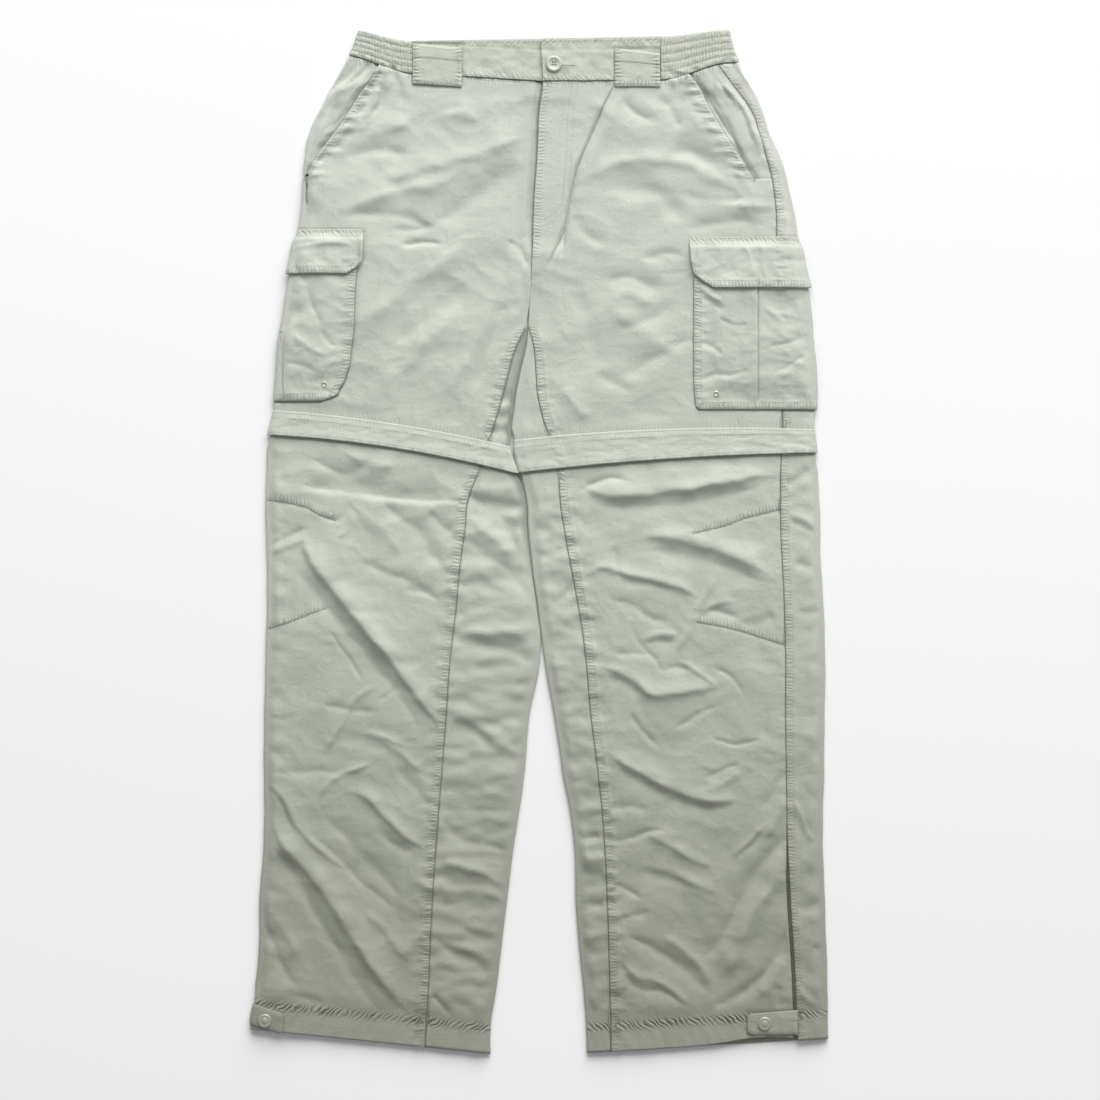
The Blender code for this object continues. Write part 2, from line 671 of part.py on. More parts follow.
def build_waist(side):
    sign = SIGN[side]
    right = side == "right"
    seam = ELASTIC_START[side]

    def elastic_knots(ring, y, station):
        low = -ELASTIC_WRAP + SEAM / 2.0 + 0.0 * y
        high = u_at_x(side, ring, seam - sign * SEAM / 2.0)
        marks = [low, -QUARTER + 0.0 * y, 0.0 * y, QUARTER + 0.0 * y, high]
        return clamp_all(marks, low, high)

    rows = waist_rows(2 * ELASTIC_RIBS)

    def ribbed(x, y, u):
        # round channels between the rows of stitching
        index = np.arange(len(rows))[:, None] + 0.0 * u
        return RIB_HEIGHT * (index % 2)

    points = place_rows(side, rows, elastic_knots, (3, 2, 2, 5), ribbed)
    sheet("waist_elastic_" + side, points, SAGE_BAND, flip=not right)

    def band_knots(ring, y, station):
        low = u_at_x(side, ring, seam + sign * SEAM / 2.0)
        high = ring["length"] + (0.0 if right else WAIST_UNDERLAP)
        return [low, high + 0.0 * y]

    def raised(x, y, u):
        return fly_raise(x, y) if right else 0.0 * x

    points = place_rows(side, waist_rows(2), band_knots, (10,), raised, True)
    sheet("waistband_front_" + side, points, SAGE_BAND, flip=not right)


def underside_row(places, part):
    # points on the underside of the waistband, which crosses the centre seam
    row = []
    for x in places:
        side = "left" if x < section_at(WAIST_SEAM, "left_inner") else "right"
        station = np.array([WAIST_SEAM + part * (WAIST_TOP - WAIST_SEAM)])
        y = row_line(side, station, np.array([x]))
        row.append((x, float(y[0]), REST + float(lift(side, np.array([x]), y)[0])))
    return row


def elastic_end(side, part):
    # x of the elastic's end on the underside
    def knots(ring, y, station):
        return [-ELASTIC_WRAP + 0.0 * y, 0.0 * y]

    station = WAIST_SEAM + part * (WAIST_TOP - WAIST_SEAM)
    return place_rows(side, [station], knots, (1,), 0.0)[0, 0, 0] + SIGN[side] * 2.0 * SEAM


def build_waist_back():
    rows = []
    for part in (SEAM / (WAIST_TOP - WAIST_SEAM) / 2.0, 0.33, 0.67, 1.0):
        breaks = [elastic_end("left", part), ELASTIC_START["left"], section_at(WAIST_SEAM, "left_inner"),
                  ELASTIC_START["right"], elastic_end("right", part)]
        places = []
        for start, end, count in zip(breaks[:-1], breaks[1:], (1, 4, 4, 1)):
            places += list(np.linspace(start, end, count + 1))[:-1]
        rows.append(underside_row(places + breaks[-1:], part))
    sheet("waistband_back", np.array(rows), SAGE_BAND)
    for name, x in BACK_LOOPS.items():
        places = (x - BACK_LOOP_WIDTH / 2.0, x, x + BACK_LOOP_WIDTH / 2.0)
        rows = np.array([underside_row(places, part) for part in (-0.12, 0.3, 0.7, 0.97)])
        rows[:, :, 2] = REST
        sheet(name, rows, SAGE_BAND)


def top_height(side, x, y, out):
    # middle of a layer on top of the garment at a place on it
    place = (np.array([[float(x)]]), np.array([[float(y)]]))
    ring = edges(side, place[1])
    return float(ring_point(side, place[1], u_at_x(side, ring, place[0]), out, True)[1][0, 0])


def build_front_loops():
    for entry in FRONT_LOOPS:
        loop = dict(zip(LOOP_COLUMNS, entry))
        rows = []
        for part in (0.0, 0.35, 0.7, 1.0):
            row = []
            for across in (0.0, 0.33, 0.67, 1.0):
                x = loop["x1"] + (loop["x2"] - loop["x1"]) * across
                top = loop["top1"] + (loop["top2"] - loop["top1"]) * across
                low = loop["low1"] + (loop["low2"] - loop["low1"]) * across
                y = top + (low - top) * part
                row.append((x, y, top_height(loop["side"], x, y, LAYER)))
            rows.append(row)
        sheet("belt_loop_front_" + loop["side"], np.array(rows), SAGE_BAND)


def plan_sheet(side, heights, fixed, high, shares, out):
    # a sheet by plain heights y: columns at fixed places round the edge, then shares of
    # the way from the last of them to u = high(y)
    count = len(fixed) + len(shares)
    y = np.repeat(np.asarray(heights, dtype=float)[:, None], count, axis=1)
    ring = edges(side, y)
    end = high(ring, y)
    columns = [np.full(len(y), place) for place in fixed]
    columns += [fixed[-1] + (end[:, 0] - fixed[-1]) * share for share in shares]
    u = np.stack(columns, axis=1)
    x = ring_point(side, y, u, 0.0)[0]
    x, z = ring_point(side, y, u, out(x, y, u))
    return np.stack([x, y, z], axis=2)


def cargo_puff(side, x, y, u):
    # the pocket's front stands out in its middle, with one pleat, and is sewn flat round it
    pocket = CARGO[side]
    rows = CARGO_FRONTS[side]
    front = smooth_at(y, table(CARGO_FRONT_COLUMNS, rows, "y"), table(CARGO_FRONT_COLUMNS, rows, "x"))
    inward = (front - x) * SIGN[side]
    edge = smoothstep((inward - CARGO_PUFF_EDGE) / 20.0) * smoothstep((u - QUARTER) / 22.0)
    edge = edge * smoothstep((y - pocket["bottom"] - CARGO_PUFF_EDGE) / 24.0)
    near = (x - pocket["pleat"]) * (-SIGN[side])
    pleat = np.where(near < 0.0, 1.0 + near / PLEAT_RUN, 1.0 - near / PLEAT_DROP)
    pleat = np.clip(pleat, 0.0, 1.0) * smoothstep((FLAPS[side]["bottom"] - y) / 24.0)
    pleat = pleat * smoothstep((y - pocket["bottom"] - 2.0) / 16.0) * smoothstep((u - 5.0) / 4.0)
    return CARGO_PUFF * edge + PLEAT_HEIGHT * pleat


def build_cargo(side):
    pocket = CARGO[side]
    flip = side == "right"
    rows = CARGO_FRONTS[side]
    places = table(CARGO_FRONT_COLUMNS, rows, "y")
    fronts = table(CARGO_FRONT_COLUMNS, rows, "x")
    heights = list(np.linspace(pocket["top"], pocket["bottom"] + 34.0, 7))
    heights += [pocket["bottom"] + step for step in (22.0, 12.0, 4.0, 0.0)]

    def high(ring, y):
        return u_at_x(side, ring, smooth_at(y, places, fronts))

    bend = [-QUARTER, -QUARTER / 2.0, 0.0, QUARTER / 2.0, QUARTER]
    fixed = [-CARGO_WRAP, LEFT_OUTSEAM] + bend if side == "left" else [1.0, QUARTER]
    shares = (0.07, 0.09, 0.24, 0.42, 0.6, 0.76, 0.88, 1.0)
    if side == "right":
        shares = (0.14, 0.28, 0.40, 0.455, 0.475, 0.6, 0.74, 0.87, 1.0)
    points = plan_sheet(side, heights, fixed, high, shares,
                        lambda x, y, u: LAYER + cargo_puff(side, x, y, u))
    sheet("cargo_pocket_" + side, points, SAGE, flip=flip)

    flap = FLAPS[side]
    rows = flap["front"]
    flap_y = table(FLAP_COLUMNS, rows, "y")
    flap_x = table(FLAP_COLUMNS, rows, "x")
    flap_heights = [flap["top"] - step for step in (0.0, FLAP_SEAM + 1.0, FLAP_CLIMB + 2.0, 24.0)]
    flap_heights += [y for y in flap_y[::-1] if y < flap["top"] - 26.0]

    def flap_high(ring, y):
        return u_at_x(side, ring, np.interp(y, flap_y, flap_x))

    def flap_out(x, y, u):
        climb = smoothstep((flap["top"] - FLAP_SEAM - y) / (FLAP_CLIMB - FLAP_SEAM))
        puff = cargo_puff(side, x, np.minimum(y, pocket["top"]), u)
        return LAYER + climb * (LAYER + puff + FLAP_EASE * (u > QUARTER))

    if side == "left":
        fixed[0] = -FLAP_WRAP
    points = plan_sheet(side, flap_heights, fixed, flap_high, shares, flap_out)
    sheet("cargo_flap_" + side, points, SAGE, flip=flip)


def turned(name, profile, steps, place, colour, roughness, metallic):
    # a round piece: its profile in radius and height, from the top down the outer side
    mesh = bpy.data.meshes.new(name)
    points = [(radius * MM, 0.0, height * MM) for radius, height in profile]
    closed = profile[0][0] > 0.0
    count = len(points)
    links = [(i, (i + 1) % count) for i in range(count if closed else count - 1)]
    mesh.from_pydata(points, links, [])
    thing = add_object(name, mesh, colour, roughness, metallic)
    thing.location = ((place[0] - ORIGIN_X) * MM, (place[1] - ORIGIN_Y) * MM, place[2] * MM)
    spin = thing.modifiers.new("Turn", "SCREW")
    spin.steps = steps
    spin.render_steps = steps
    spin.use_merge_vertices = True
    spin.merge_threshold = 0.00001
    return thing


def build_button():
    x, y = BUTTON["x"], BUTTON["y"]
    radius, height = BUTTON["radius"], BUTTON["height"]
    base = top_height("right", x, y, LAYER) + WALL / 2.0 + 0.3
    profile = ((0.0, height - 1.1), (radius * 0.55, height - 1.1), (radius * 0.68, height - 0.2),
               (radius * 0.84, height), (radius, height - 0.9), (radius, 0.6),
               (radius - 0.8, 0.0), (0.0, 0.0))
    button = turned("waist_button", profile, 20, (x, y, base), BUTTON_COLOUR, 0.4, 0.0)
    for index in range(4):
        turn = math.pi / 4.0 + index * math.pi / 2.0
        place = (x + BUTTON["hole_at"] * math.cos(turn), y + BUTTON["hole_at"] * math.sin(turn))
        bpy.ops.mesh.primitive_cylinder_add(vertices=8, radius=BUTTON["hole"] * MM,
                                            depth=3.0 * height * MM)
        cutter = bpy.context.active_object
        cutter.name = "button_hole_%d" % index
        cutter.location = ((place[0] - ORIGIN_X) * MM, (place[1] - ORIGIN_Y) * MM, base * MM)
        cutter.hide_render = True
        cutter.display_type = "WIRE"
        for owner in list(cutter.users_collection):
            owner.objects.unlink(cutter)
        cutters.objects.link(cutter)
        cut = button.modifiers.new("Hole", "BOOLEAN")
        cut.object = cutter
        cut.operation = "DIFFERENCE"
        cut.solver = "EXACT"


def build_small_metal():
    for side in ("left", "right"):
        x, y = CARGO[side]["eyelet"]
        r = EYELET_RADIUS
        base = top_height(side, x, y, LAYER) + WALL / 2.0 + 0.6
        profile = ((r * 0.55, 0.7), (r * 0.8, 0.9), (r, 0.45), (r, 0.0), (r * 0.45, 0.0),
                   (r * 0.45, 0.4))
        turned("eyelet_" + side, profile, 12, (x, y, base), METAL, 0.45, 0.6)
        x, y = SNAPS[side]
        r = SNAP_RADIUS
        base = top_height(side, x, y, LAYER) + WALL / 2.0 + 0.3
        profile = ((0.0, 1.5), (r * 0.45, 1.35), (r * 0.8, 0.9), (r * 0.88, 0.65), (r, 0.8),
                   (r, 0.0), (0.0, 0.0))
        turned("hem_snap_" + side, profile, 16, (x, y, base), METAL, 0.5, 0.3)


def build_tabs():
    tab = TAB_LEFT
    rows = []
    for part in (0.0, 0.5, 1.0):
        turns = [-tab["wrap"], -tab["wrap"] / 2.0, -QUARTER, -QUARTER / 2.0, 0.0, QUARTER / 2.0, QUARTER,
                 10.0, 18.0, 27.0, tab["reach"]]
        row = []
        for u in turns:
            y = tab["top"] + (tab["bottom"] - tab["top"]) * part + tab["slope"] * max(u, 0.0)
            if u == tab["reach"]:
                y += (0.5 - part) * -3.0
            x, z = ring_point("left", np.array([[y]]), np.array([[float(u)]]), LAYER)
            row.append((x[0, 0], y, z[0, 0]))
        rows.append(row)
    sheet("hem_tab_left", np.array(rows), SAGE_LEG)
    tab = TAB_RIGHT
    rows = []
    for part in (0.0, 0.5, 1.0):
        row = []
        for across in (0.0, 0.1, 0.36, 0.62, 0.84, 1.0):
            x = tab["front"] + (tab["back"] - tab["front"]) * across
            y = tab["top"] + (tab["bottom"] - tab["top"]) * part + 4.0 * across * (1.0 - part)
            if across == 0.0:
                y += (0.5 - part) * -4.0
            row.append((x, y, top_height("right", x, y, LAYER)))
        rows.append(row)
    sheet("hem_tab_right", np.array(rows), SAGE_LEG)


def build_ankle_zip():
    # the tape of the ankle zip lies one layer inside, under the slit
    rows = stations_between(SLIT["top"] - 4.0, HEM["right"] + 3.0, 30.0)

    def knots(ring, y, station):
        seam = outseam_u("right", ring, y)
        return [seam - SLIT["tape"], seam, seam + SLIT["tape"]]

    points = place_rows("right", rows, knots, (1, 1), -LAYER)
    sheet("ankle_zip_right", points, TAPE, flip=True)


def clear_scene():
    for thing in list(bpy.data.objects):
        bpy.data.objects.remove(thing, do_unlink=True)


clear_scene()
parts = bpy.data.collections.new(COLLECTION)
bpy.context.scene.collection.children.link(parts)
cutters = bpy.data.collections.new("cutters")
bpy.context.scene.collection.children.link(cutters)
for leg in ("left", "right"):
    build_shorts(leg)
    build_facing(leg)
    build_lower_leg(leg)
    build_knee(leg)
    build_waist(leg)
    build_cargo(leg)
build_waist_back()
build_front_loops()
build_button()
build_small_metal()
build_tabs()
build_ankle_zip()
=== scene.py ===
import math
from functools import partial

import bmesh
import bpy
import numpy as np
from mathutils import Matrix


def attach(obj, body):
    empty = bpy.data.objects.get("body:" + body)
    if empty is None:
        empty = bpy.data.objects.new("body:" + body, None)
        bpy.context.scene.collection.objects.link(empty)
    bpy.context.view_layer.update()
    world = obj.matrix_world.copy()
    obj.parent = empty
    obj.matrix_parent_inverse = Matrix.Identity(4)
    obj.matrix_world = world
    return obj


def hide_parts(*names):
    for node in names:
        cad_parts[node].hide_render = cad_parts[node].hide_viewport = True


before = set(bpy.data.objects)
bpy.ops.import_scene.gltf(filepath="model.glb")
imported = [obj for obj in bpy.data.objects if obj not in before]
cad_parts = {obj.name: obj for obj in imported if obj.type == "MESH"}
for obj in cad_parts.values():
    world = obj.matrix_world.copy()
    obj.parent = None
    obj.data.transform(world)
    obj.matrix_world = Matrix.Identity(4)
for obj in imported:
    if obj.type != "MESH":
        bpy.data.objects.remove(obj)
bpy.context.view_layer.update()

# Zip-off trousers laid flat, front up, waist towards +Y. The tables are in millimetres;
# "left" and "right" are as seen from above.
mm = 0.001
fullTurn = 2.0 * math.pi
far = 60.0                # out of every seam's reach

garment = {
    "wall": 1.2,          # wall of the solids, which sets where each layer lies
    "shell": 0.7,         # thickness of the cloth that shows
    "seamGap": 0.16,
    "layer": 1.8,         # middle of one layer to the middle of the next
    "fold": 2.0,          # radius of a leg's edge
    "originX": 0.6,
    "originY": -1.0,
    "crotch": 234.0,
    "dipReach": 25.0,
    "waistTop": 536.0,
    "waistSeam": 491.0,
    "zipInset": 6.0,
    "hemWidth": 27.0,
    "slant": 0.8,         # straight across the slant pocket's edge, as a share of sideways
    "edgeWave": 0.7,      # the outline isn't ruled
    "loft": 2.8,          # middle height of the top layer over its flat place
    "creaseShare": 2.3,
    "crumpleShare": 1.7,
}
layer = garment["layer"]
fold = garment["fold"]
quarter = fold * math.pi / 2.0
rest = garment["wall"] / 2.0
waistSeam = garment["waistSeam"]
waistTop = garment["waistTop"]
halfGap = garment["seamGap"] / 2.0

legs = {
    "left": {"sign": 1.0, "notch": 380.0, "flapTop": 101.0, "flapFree": 72.0, "hem": -548.0,
             "elastic": -134.0},
    "right": {"sign": -1.0, "notch": 383.0, "flapTop": 108.0, "flapFree": 73.0, "hem": -547.0,
              "elastic": 131.0},
}

sectionNames = ("y", "leftOuter", "leftInseam", "leftInner",
                "rightInner", "rightInseam", "rightOutseam", "rightOuter")
sectionRows = (
    (549, -190, 3, 3, 3, 3, 173, 204),
    (515, -204, 4, 4, 4, 4, 188, 213),
    (502, -211, 5, 5, 5, 5, 197, 218),
    (487, -220, 5, 5, 5, 5, 208, 227),
    (466, -231, 2, 2, 2, 2, 224, 238),
    (437, -244, 0, 0, 0, 0, 236, 248),
    (412, -250, -1, -1, -1, -1, 243, 259),
    (370, -255, -4, -4, -4, -4, 252, 270),
    (312, -264, -6, -6, -6, -6, 254, 281),
    (254, -273, -9, -9, -9, -9, 257, 290),
    (234, -276, -11, -11, -11, -11, 258, 292),
    (210, -280, -22, -13, -13, -5, 259, 294),
    (178, -281, -32, -20, -20, -2, 260, 297),
    (140, -285, -42, -26, -26, 3, 261, 297),
    (108, -289, -52, -28, -28, 13, 261, 298),
    (76, -290, -62, -22, -22, 21, 259, 300),
    (50, -291, -73, -14, -14, 23, 259, 301),
    (13, -291, -78, -11, -11, 28, 259, 302),
    (-32, -290, -84, -6, -6, 36, 261, 303),
    (-76, -290, -88, 0, 0, 44, 263, 306),
    (-117, -291, -93, 3, 5, 50, 264, 307),
    (-183, -293, -98, -8, 16, 56, 264, 307),
    (-248, -293, -103, -14, 26, 64, 265, 306),
    (-325, -294, -109, -25, 38, 71, 266, 305),
    (-387, -298, -113, -33, 40, 74, 268, 307),
    (-448, -300, -116, -40, 45, 76, 272, 309),
    (-491, -305, -118, -46, 49, 77, 274, 310),
    (-518, -309, -120, -50, 51, 78, 275, 310),
    (-550, -309, -121, -50, 52, 78, 276, 310),
)

lineNames = ("y", "tilt", "bow", "hike")
lineRows = {
    "left": ((536, 0.015, 0.0, 15.0), (491, -0.060, 0.0, 16.0), (386, -0.020, 0.0, 3.0),
             (234, -0.050, 0.0, 0.0), (101, -0.152, 5.5, 0.0), (72, -0.155, 7.0, 0.0),
             (-170, -0.130, 0.0, 0.0), (-548, -0.104, 0.0, 0.0)),
    "right": ((536, 0.020, 0.0, 6.0), (491, 0.010, 0.0, 18.0), (386, 0.000, 0.0, 3.0),
              (234, 0.030, 0.0, 0.0), (108, 0.035, 6.0, 0.0), (73, 0.067, 4.0, 0.0),
              (-170, 0.060, 0.0, 0.0), (-547, 0.058, 0.0, 0.0)),
}

openingRows = {
    "left": ((512, -168), (506, -171), (472, -194), (453, -206), (429, -223), (405, -240),
             (388, -249)),
    "right": ((512, 151), (506, 155), (488, 170), (466, 182), (440, 197), (413, 214), (386, 231)),
}

# Creases, listed: height (below 0 a trough), width, then the points they run through
creases = {
    "shortsLeft": (
        (-1.4, 8, -209, 410, -172, 420, -136, 413),
        (1.3, (13, 7), -191, 428, -140, 446, -92, 460, -59, 446),
        (-1.3, 8, -143, 443, -110, 456, -77, 465),
        (1.3, (13, 8), -169, 384, -110, 401, -59, 415, -11, 432),
        (-1.8, 11, -110, 337, -81, 357, -48, 381, -22, 395, -2, 395),
        (1.3, 9, -209, 351, -158, 373, -110, 381, -77, 395),
        (0.8, 3.5, -26, 410, -11, 399, -6, 377),
        (-1.2, 7, -209, 344, -165, 351, -114, 337),
        (-1.1, 3.5, -147, 313, -125, 320, -103, 318),
        (-1.3, 4, -35, 320, -20, 313, -8, 293),
        (-1, 5, -158, 333, -136, 329, -110, 340),
        (1.4, 13, -209, 205, -161, 252, -110, 293, -74, 322),
        (-0.9, 9, -161, 205, -114, 241, -74, 278),
        (1.6, 14, -187, 148, -146, 180, -113, 224, -80, 255),
        (-0.9, 9, -125, 209, -93, 251, -77, 268),
        (1.1, 9, -105, 151, -73, 194, -51, 247, -41, 290),
        (-0.9, 7, -73, 151, -51, 204, -35, 258),
        (-1.2, 4, -177, 489, -181, 470, -193, 455),
        (-1.4, 4, -164, 491, -165, 472, -180, 453),
        (1.2, 4, -168, 489, -173, 468, -186, 450),
        (-1, 5, -226, 418, -207, 428, -196, 440),
        (-1, 4, -240, 398, -228, 410, -221, 424),
    ),
    "shortsRight": (
        (-1.1, 4, 88, 478, 99, 461, 121, 446),
        (1, 6, 91, 487, 117, 468, 132, 450),
        (-0.9, 4, 128, 476, 146, 457, 154, 439),
        (-1.9, 13, 73, 373, 106, 381, 135, 366, 157, 340),
        (1.4, (10, 8), 47, 384, 84, 406, 135, 410, 183, 392, 216, 370),
        (-1.4, 8, 139, 410, 161, 419, 187, 399),
        (1.1, 7, 165, 366, 209, 357, 256, 359),
        (-1.1, 6, 150, 373, 190, 359, 223, 366),
        (-1, 7, 154, 329, 201, 344, 245, 337),
        (-1.1, 6, 40, 351, 47, 329, 73, 315),
        (-1, 6, 69, 271, 91, 285, 117, 274, 132, 263),
        (1, 7, 73, 252, 99, 267, 121, 252),
        (-0.9, 7, 84, 227, 121, 234, 150, 256),
        (-1.1, 4, 157, 501, 172, 487, 190, 461),
        (-1, 7, 64, 179, 101, 157),
        (-0.9, 6, 89, 172, 125, 197, 167, 218),
        (1.1, 8, 24, 162, 56, 129),
        (1, 9, 66, 258, 109, 226, 152, 194),
        (-0.8, 9, 34, 279, 56, 226, 66, 172),
        (-0.9, 5, 109, 301, 141, 311, 157, 299),
        (1.9, 6, 176, 502, 197, 488, 213, 474, 225, 453, 234, 427, 243, 402),
        (-1.3, 4, 172, 492, 186, 472, 203, 440, 218, 410, 226, 396),
        (-1.1, 3.5, 196, 502, 211, 488, 224, 466, 234, 444, 242, 420),
        (-0.8, 4, 212, 470, 222, 446, 232, 420),
    ),
    "legLeft": (
        (-2.6, (14, 3.5), -253, 61, -236, 56, -197, 53, -166, 49, -122, 45, -81, 43),
        (-1.1, 5, -247, 91, -214, 69, -197, 73, -175, 90),
        (0.9, 7, -205, 95, -179, 80, -153, 80),
        (3.3, (16, 5), -256, 21, -245, -19, -214, -58, -188, -88, -157, -128, -131, -163, -100, -204),
        (-1, 7, -266, -21, -249, -43, -223, -73, -197, -104, -166, -143, -146, -165, -122, -206),
        (-0.8, 3, -290, -10, -266, 8, -245, 16),
        (0.9, 4, -288, -16, -262, -1, -247, 5),
        (-0.7, 2.5, -232, 25, -214, 21, -201, 34, -207, 43),
        (0.7, 3, -216, 3, -201, 14, -199, 34),
        (-0.6, 1.8, -225, -91, -207, -119, -183, -154),
        (0.9, 2.6, -168, -154, -188, -163, -201, -176, -214, -204, -232, -230),
        (-0.6, 2.2, -149, -152, -157, -163, -173, -171),
        (-0.8, 4, -232, -174, -197, -182, -170, -182),
        (0.9, 5, -188, -202, -162, -209, -138, -222),
        (-1.3, 9, -170, 47, -151, 29, -131, 14, -118, -10, -100, -32),
        (-1, 6, -118, 32, -105, 21, -92, 5),
        (0.9, 8, -197, 36, -166, 12, -144, -14),
        (-0.8, 6, -197, -23, -166, -32, -131, -45, -105, -67),
        (-0.8, 5, -144, -51, -118, -54, -105, -64),
        (-2.4, (4, 9), -76, 54, -61, 38, -39, 32, -13, 40),
        (-2.2, 7, -40, 30, -27, 8, -20, -22, -15, -60),
        (1, 7, -68, 58, -39, 53, -18, 60),
        (-1.5, 8, -76, 5, -57, -14, -37, -27, -13, -49),
        (1.2, 8, -72, 21, -46, 1, -26, -14, -4, -34),
        (1.3, (10, 6), -87, -95, -57, -99, -28, -99, 0, -102),
        (-1.1, 7, -92, -110, -66, -108, -31, -117, -2, -128),
        (1.2, (10, 5), -98, -182, -74, -189, -44, -211, -24, -228),
        (-1, 7, -94, -195, -74, -198, -46, -222),
        (2.7, (15, 6), -290, -285, -280, -311, -260, -337, -234, -366, -210, -401, -188, -436,
         -166, -471, -138, -503),
        (-1.2, 8, -292, -318, -266, -348, -247, -377, -225, -420, -203, -455, -179, -492, -162, -508),
        (1.4, (9, 3.5), -293, -254, -275, -270, -260, -302, -236, -329, -197, -357),
        (-0.8, 4, -280, -274, -269, -289, -262, -307),
        (-0.9, 5, -245, -309, -214, -342, -179, -370, -153, -394),
        (1.7, (9, 4), -205, -268, -183, -272, -164, -294, -146, -313, -120, -329),
        (-0.9, 6, -177, -300, -157, -322, -131, -335),
        (-1, 8, -232, -289, -205, -318, -170, -353, -144, -383),
        (1.2, 3.5, -175, -235, -197, -244, -218, -252, -229, -263, -235, -274),
        (-0.8, 5, -288, -246, -258, -248, -223, -246, -188, -250),
        (0.8, 5, -166, -215, -144, -226, -122, -248),
        (-0.9, 7, -153, -239, -131, -268, -114, -285),
        (-1.1, 7, -298, -399, -286, -427, -275, -451, -256, -479),
        (0.9, 8, -290, -388, -271, -416, -253, -449),
        (-0.9, 6, -273, -479, -253, -488, -227, -497),
        (1, (9, 5), -188, -394, -162, -416, -135, -453),
        (-1.4, 6, -105, -296, -87, -318, -66, -322, -26, -333),
        (1.5, (7, 3.5), -109, -344, -83, -346, -61, -353, -46, -364, -33, -372),
        (1, 4, -61, -377, -44, -379, -33, -388),
        (-1.1, 5, -103, -366, -79, -364, -52, -368),
        (-1.1, 6, -83, -414, -61, -425, -39, -423),
        (-1.2, 5, -111, -423, -96, -440, -74, -447, -46, -462),
        (0.9, 5, -100, -431, -79, -436, -48, -449),
        (-1.2, 3, -117, -484, -105, -495, -92, -508),
        (-1.2, 8, -87, -471, -66, -477, -44, -471),
    ),
    "legRight": (
        (2.5, (14, 5), 43, 64, 56, 53, 89, 48, 122, 51, 165, 57, 209, 64, 257, 72),
        (-1.1, 8, 54, 43, 89, 36, 137, 38, 189, 47, 242, 58),
        (-1.4, 3.5, 45, 53, 61, 63, 80, 68, 96, 63),
        (-0.9, 5, 266, 58, 279, 69, 292, 80),
        (-1, 3, 266, 23, 279, 19, 294, 9, 302, 7),
        (0.9, 4, 268, 32, 286, 21, 301, 12),
        (2.1, (12, 6), 107, 1, 133, 5, 163, -1, 189, -9, 220, -21, 251, -40),
        (-1.2, 8, 115, -10, 155, -14, 194, -23, 238, -45),
        (1.4, (8, 3.5), 50, -40, 72, -26, 91, -34, 133, -43, 155, -51, 174, -63),
        (-0.8, 6, 89, -45, 122, -45, 146, -54),
        (-0.7, 2, 79, -3, 84, -23, 89, -43),
        (1.3, (3, 2), 192, -34, 181, -54, 172, -67, 165, -80, 159, -97, 152, -112, 148, -126),
        (-0.7, 2, 176, -54, 168, -73, 159, -91, 152, -110),
        (1, 6, 172, -82, 189, -67, 211, -62),
        (-1.3, 5, 170, -84, 185, -73, 203, -78, 216, -84),
        (-1.2, 8, 216, -88, 233, -91, 255, -78),
        (-0.8, 4, 74, -62, 96, -67, 120, -82, 141, -88),
        (-0.8, 2, 97, -86, 104, -102, 111, -112, 131, -134, 138, -146),
        (1, 5, 111, -108, 126, -99, 150, -99),
        (-0.8, 4, 113, -112, 126, -106, 146, -108),
        (-0.7, 3, 80, -123, 102, -119, 120, -121),
        (0.8, 2, 149, -127, 168, -139, 181, -147, 192, -155),
        (-0.8, 4, 133, -139, 146, -134, 163, -137),
        (1.7, (9, 4.5), 65, -134, 89, -141, 111, -156, 122, -164, 146, -163, 176, -157, 198, -152),
        (-0.9, 6, 72, -147, 96, -152, 111, -165),
        (-0.8, 2.5, 187, -134, 203, -141, 214, -154, 220, -165),
        (-0.9, 3, 146, -200, 163, -191, 176, -182, 196, -176),
        (-0.9, 2.2, 96, -180, 107, -198, 117, -209, 129, -223),
        (-0.8, 2.5, 184, -211, 198, -215, 214, -218, 240, -212),
        (-0.6, 3, 242, -176, 243, -198, 244, -213),
        (-0.9, 5, 275, -21, 288, -30, 299, -32),
        (-0.7, 4, 275, -73, 286, -78, 301, -75),
        (-1, 7, 28, -49, 37, -58),
        (2.2, (13, 5), 72, -228, 89, -235, 111, -248, 128, -258, 155, -271, 185, -278, 216, -276),
        (-1, 8, 80, -241, 115, -261, 155, -281, 189, -287, 211, -283),
        (-0.8, 3, 176, -256, 192, -246, 216, -236),
        (0.8, 5, 176, -268, 198, -259, 220, -244),
        (-1.1, 6, 72, -285, 96, -283, 120, -287),
        (-0.9, 4, 74, -320, 89, -322, 111, -311, 133, -309),
        (1.2, (8, 4), 113, -312, 137, -324, 159, -335, 187, -349),
        (1.1, (9, 5), 115, -348, 141, -353, 168, -364, 194, -379),
        (-0.9, 8, 107, -353, 137, -359, 163, -370),
        (0.8, 3, 244, -300, 229, -316, 216, -329, 203, -342),
        (-0.7, 3, 242, -307, 220, -331, 207, -340),
        (-1, 5, 265, -246, 251, -270, 238, -289),
        (1, 6, 265, -268, 255, -296, 242, -318),
        (-1.9, (6, 9), 264, -305, 255, -331, 233, -355, 218, -383, 203, -416, 189, -436, 168, -451),
        (2.3, 10, 265, -326, 255, -355, 238, -383, 220, -414, 211, -444, 194, -471),
        (-1.6, 7, 266, -409, 257, -444, 238, -468, 211, -488, 181, -501),
        (1.2, 6, 262, -442, 251, -471, 233, -488),
        (-0.9, 3, 255, -473, 256, -488, 258, -499),
        (-1.2, 6, 89, -423, 111, -429, 137, -444, 159, -458, 185, -484),
        (1.2, 6, 133, -420, 155, -436, 172, -451, 189, -479),
        (1.1, 4.5, 89, -451, 107, -466, 124, -466, 141, -477, 163, -495),
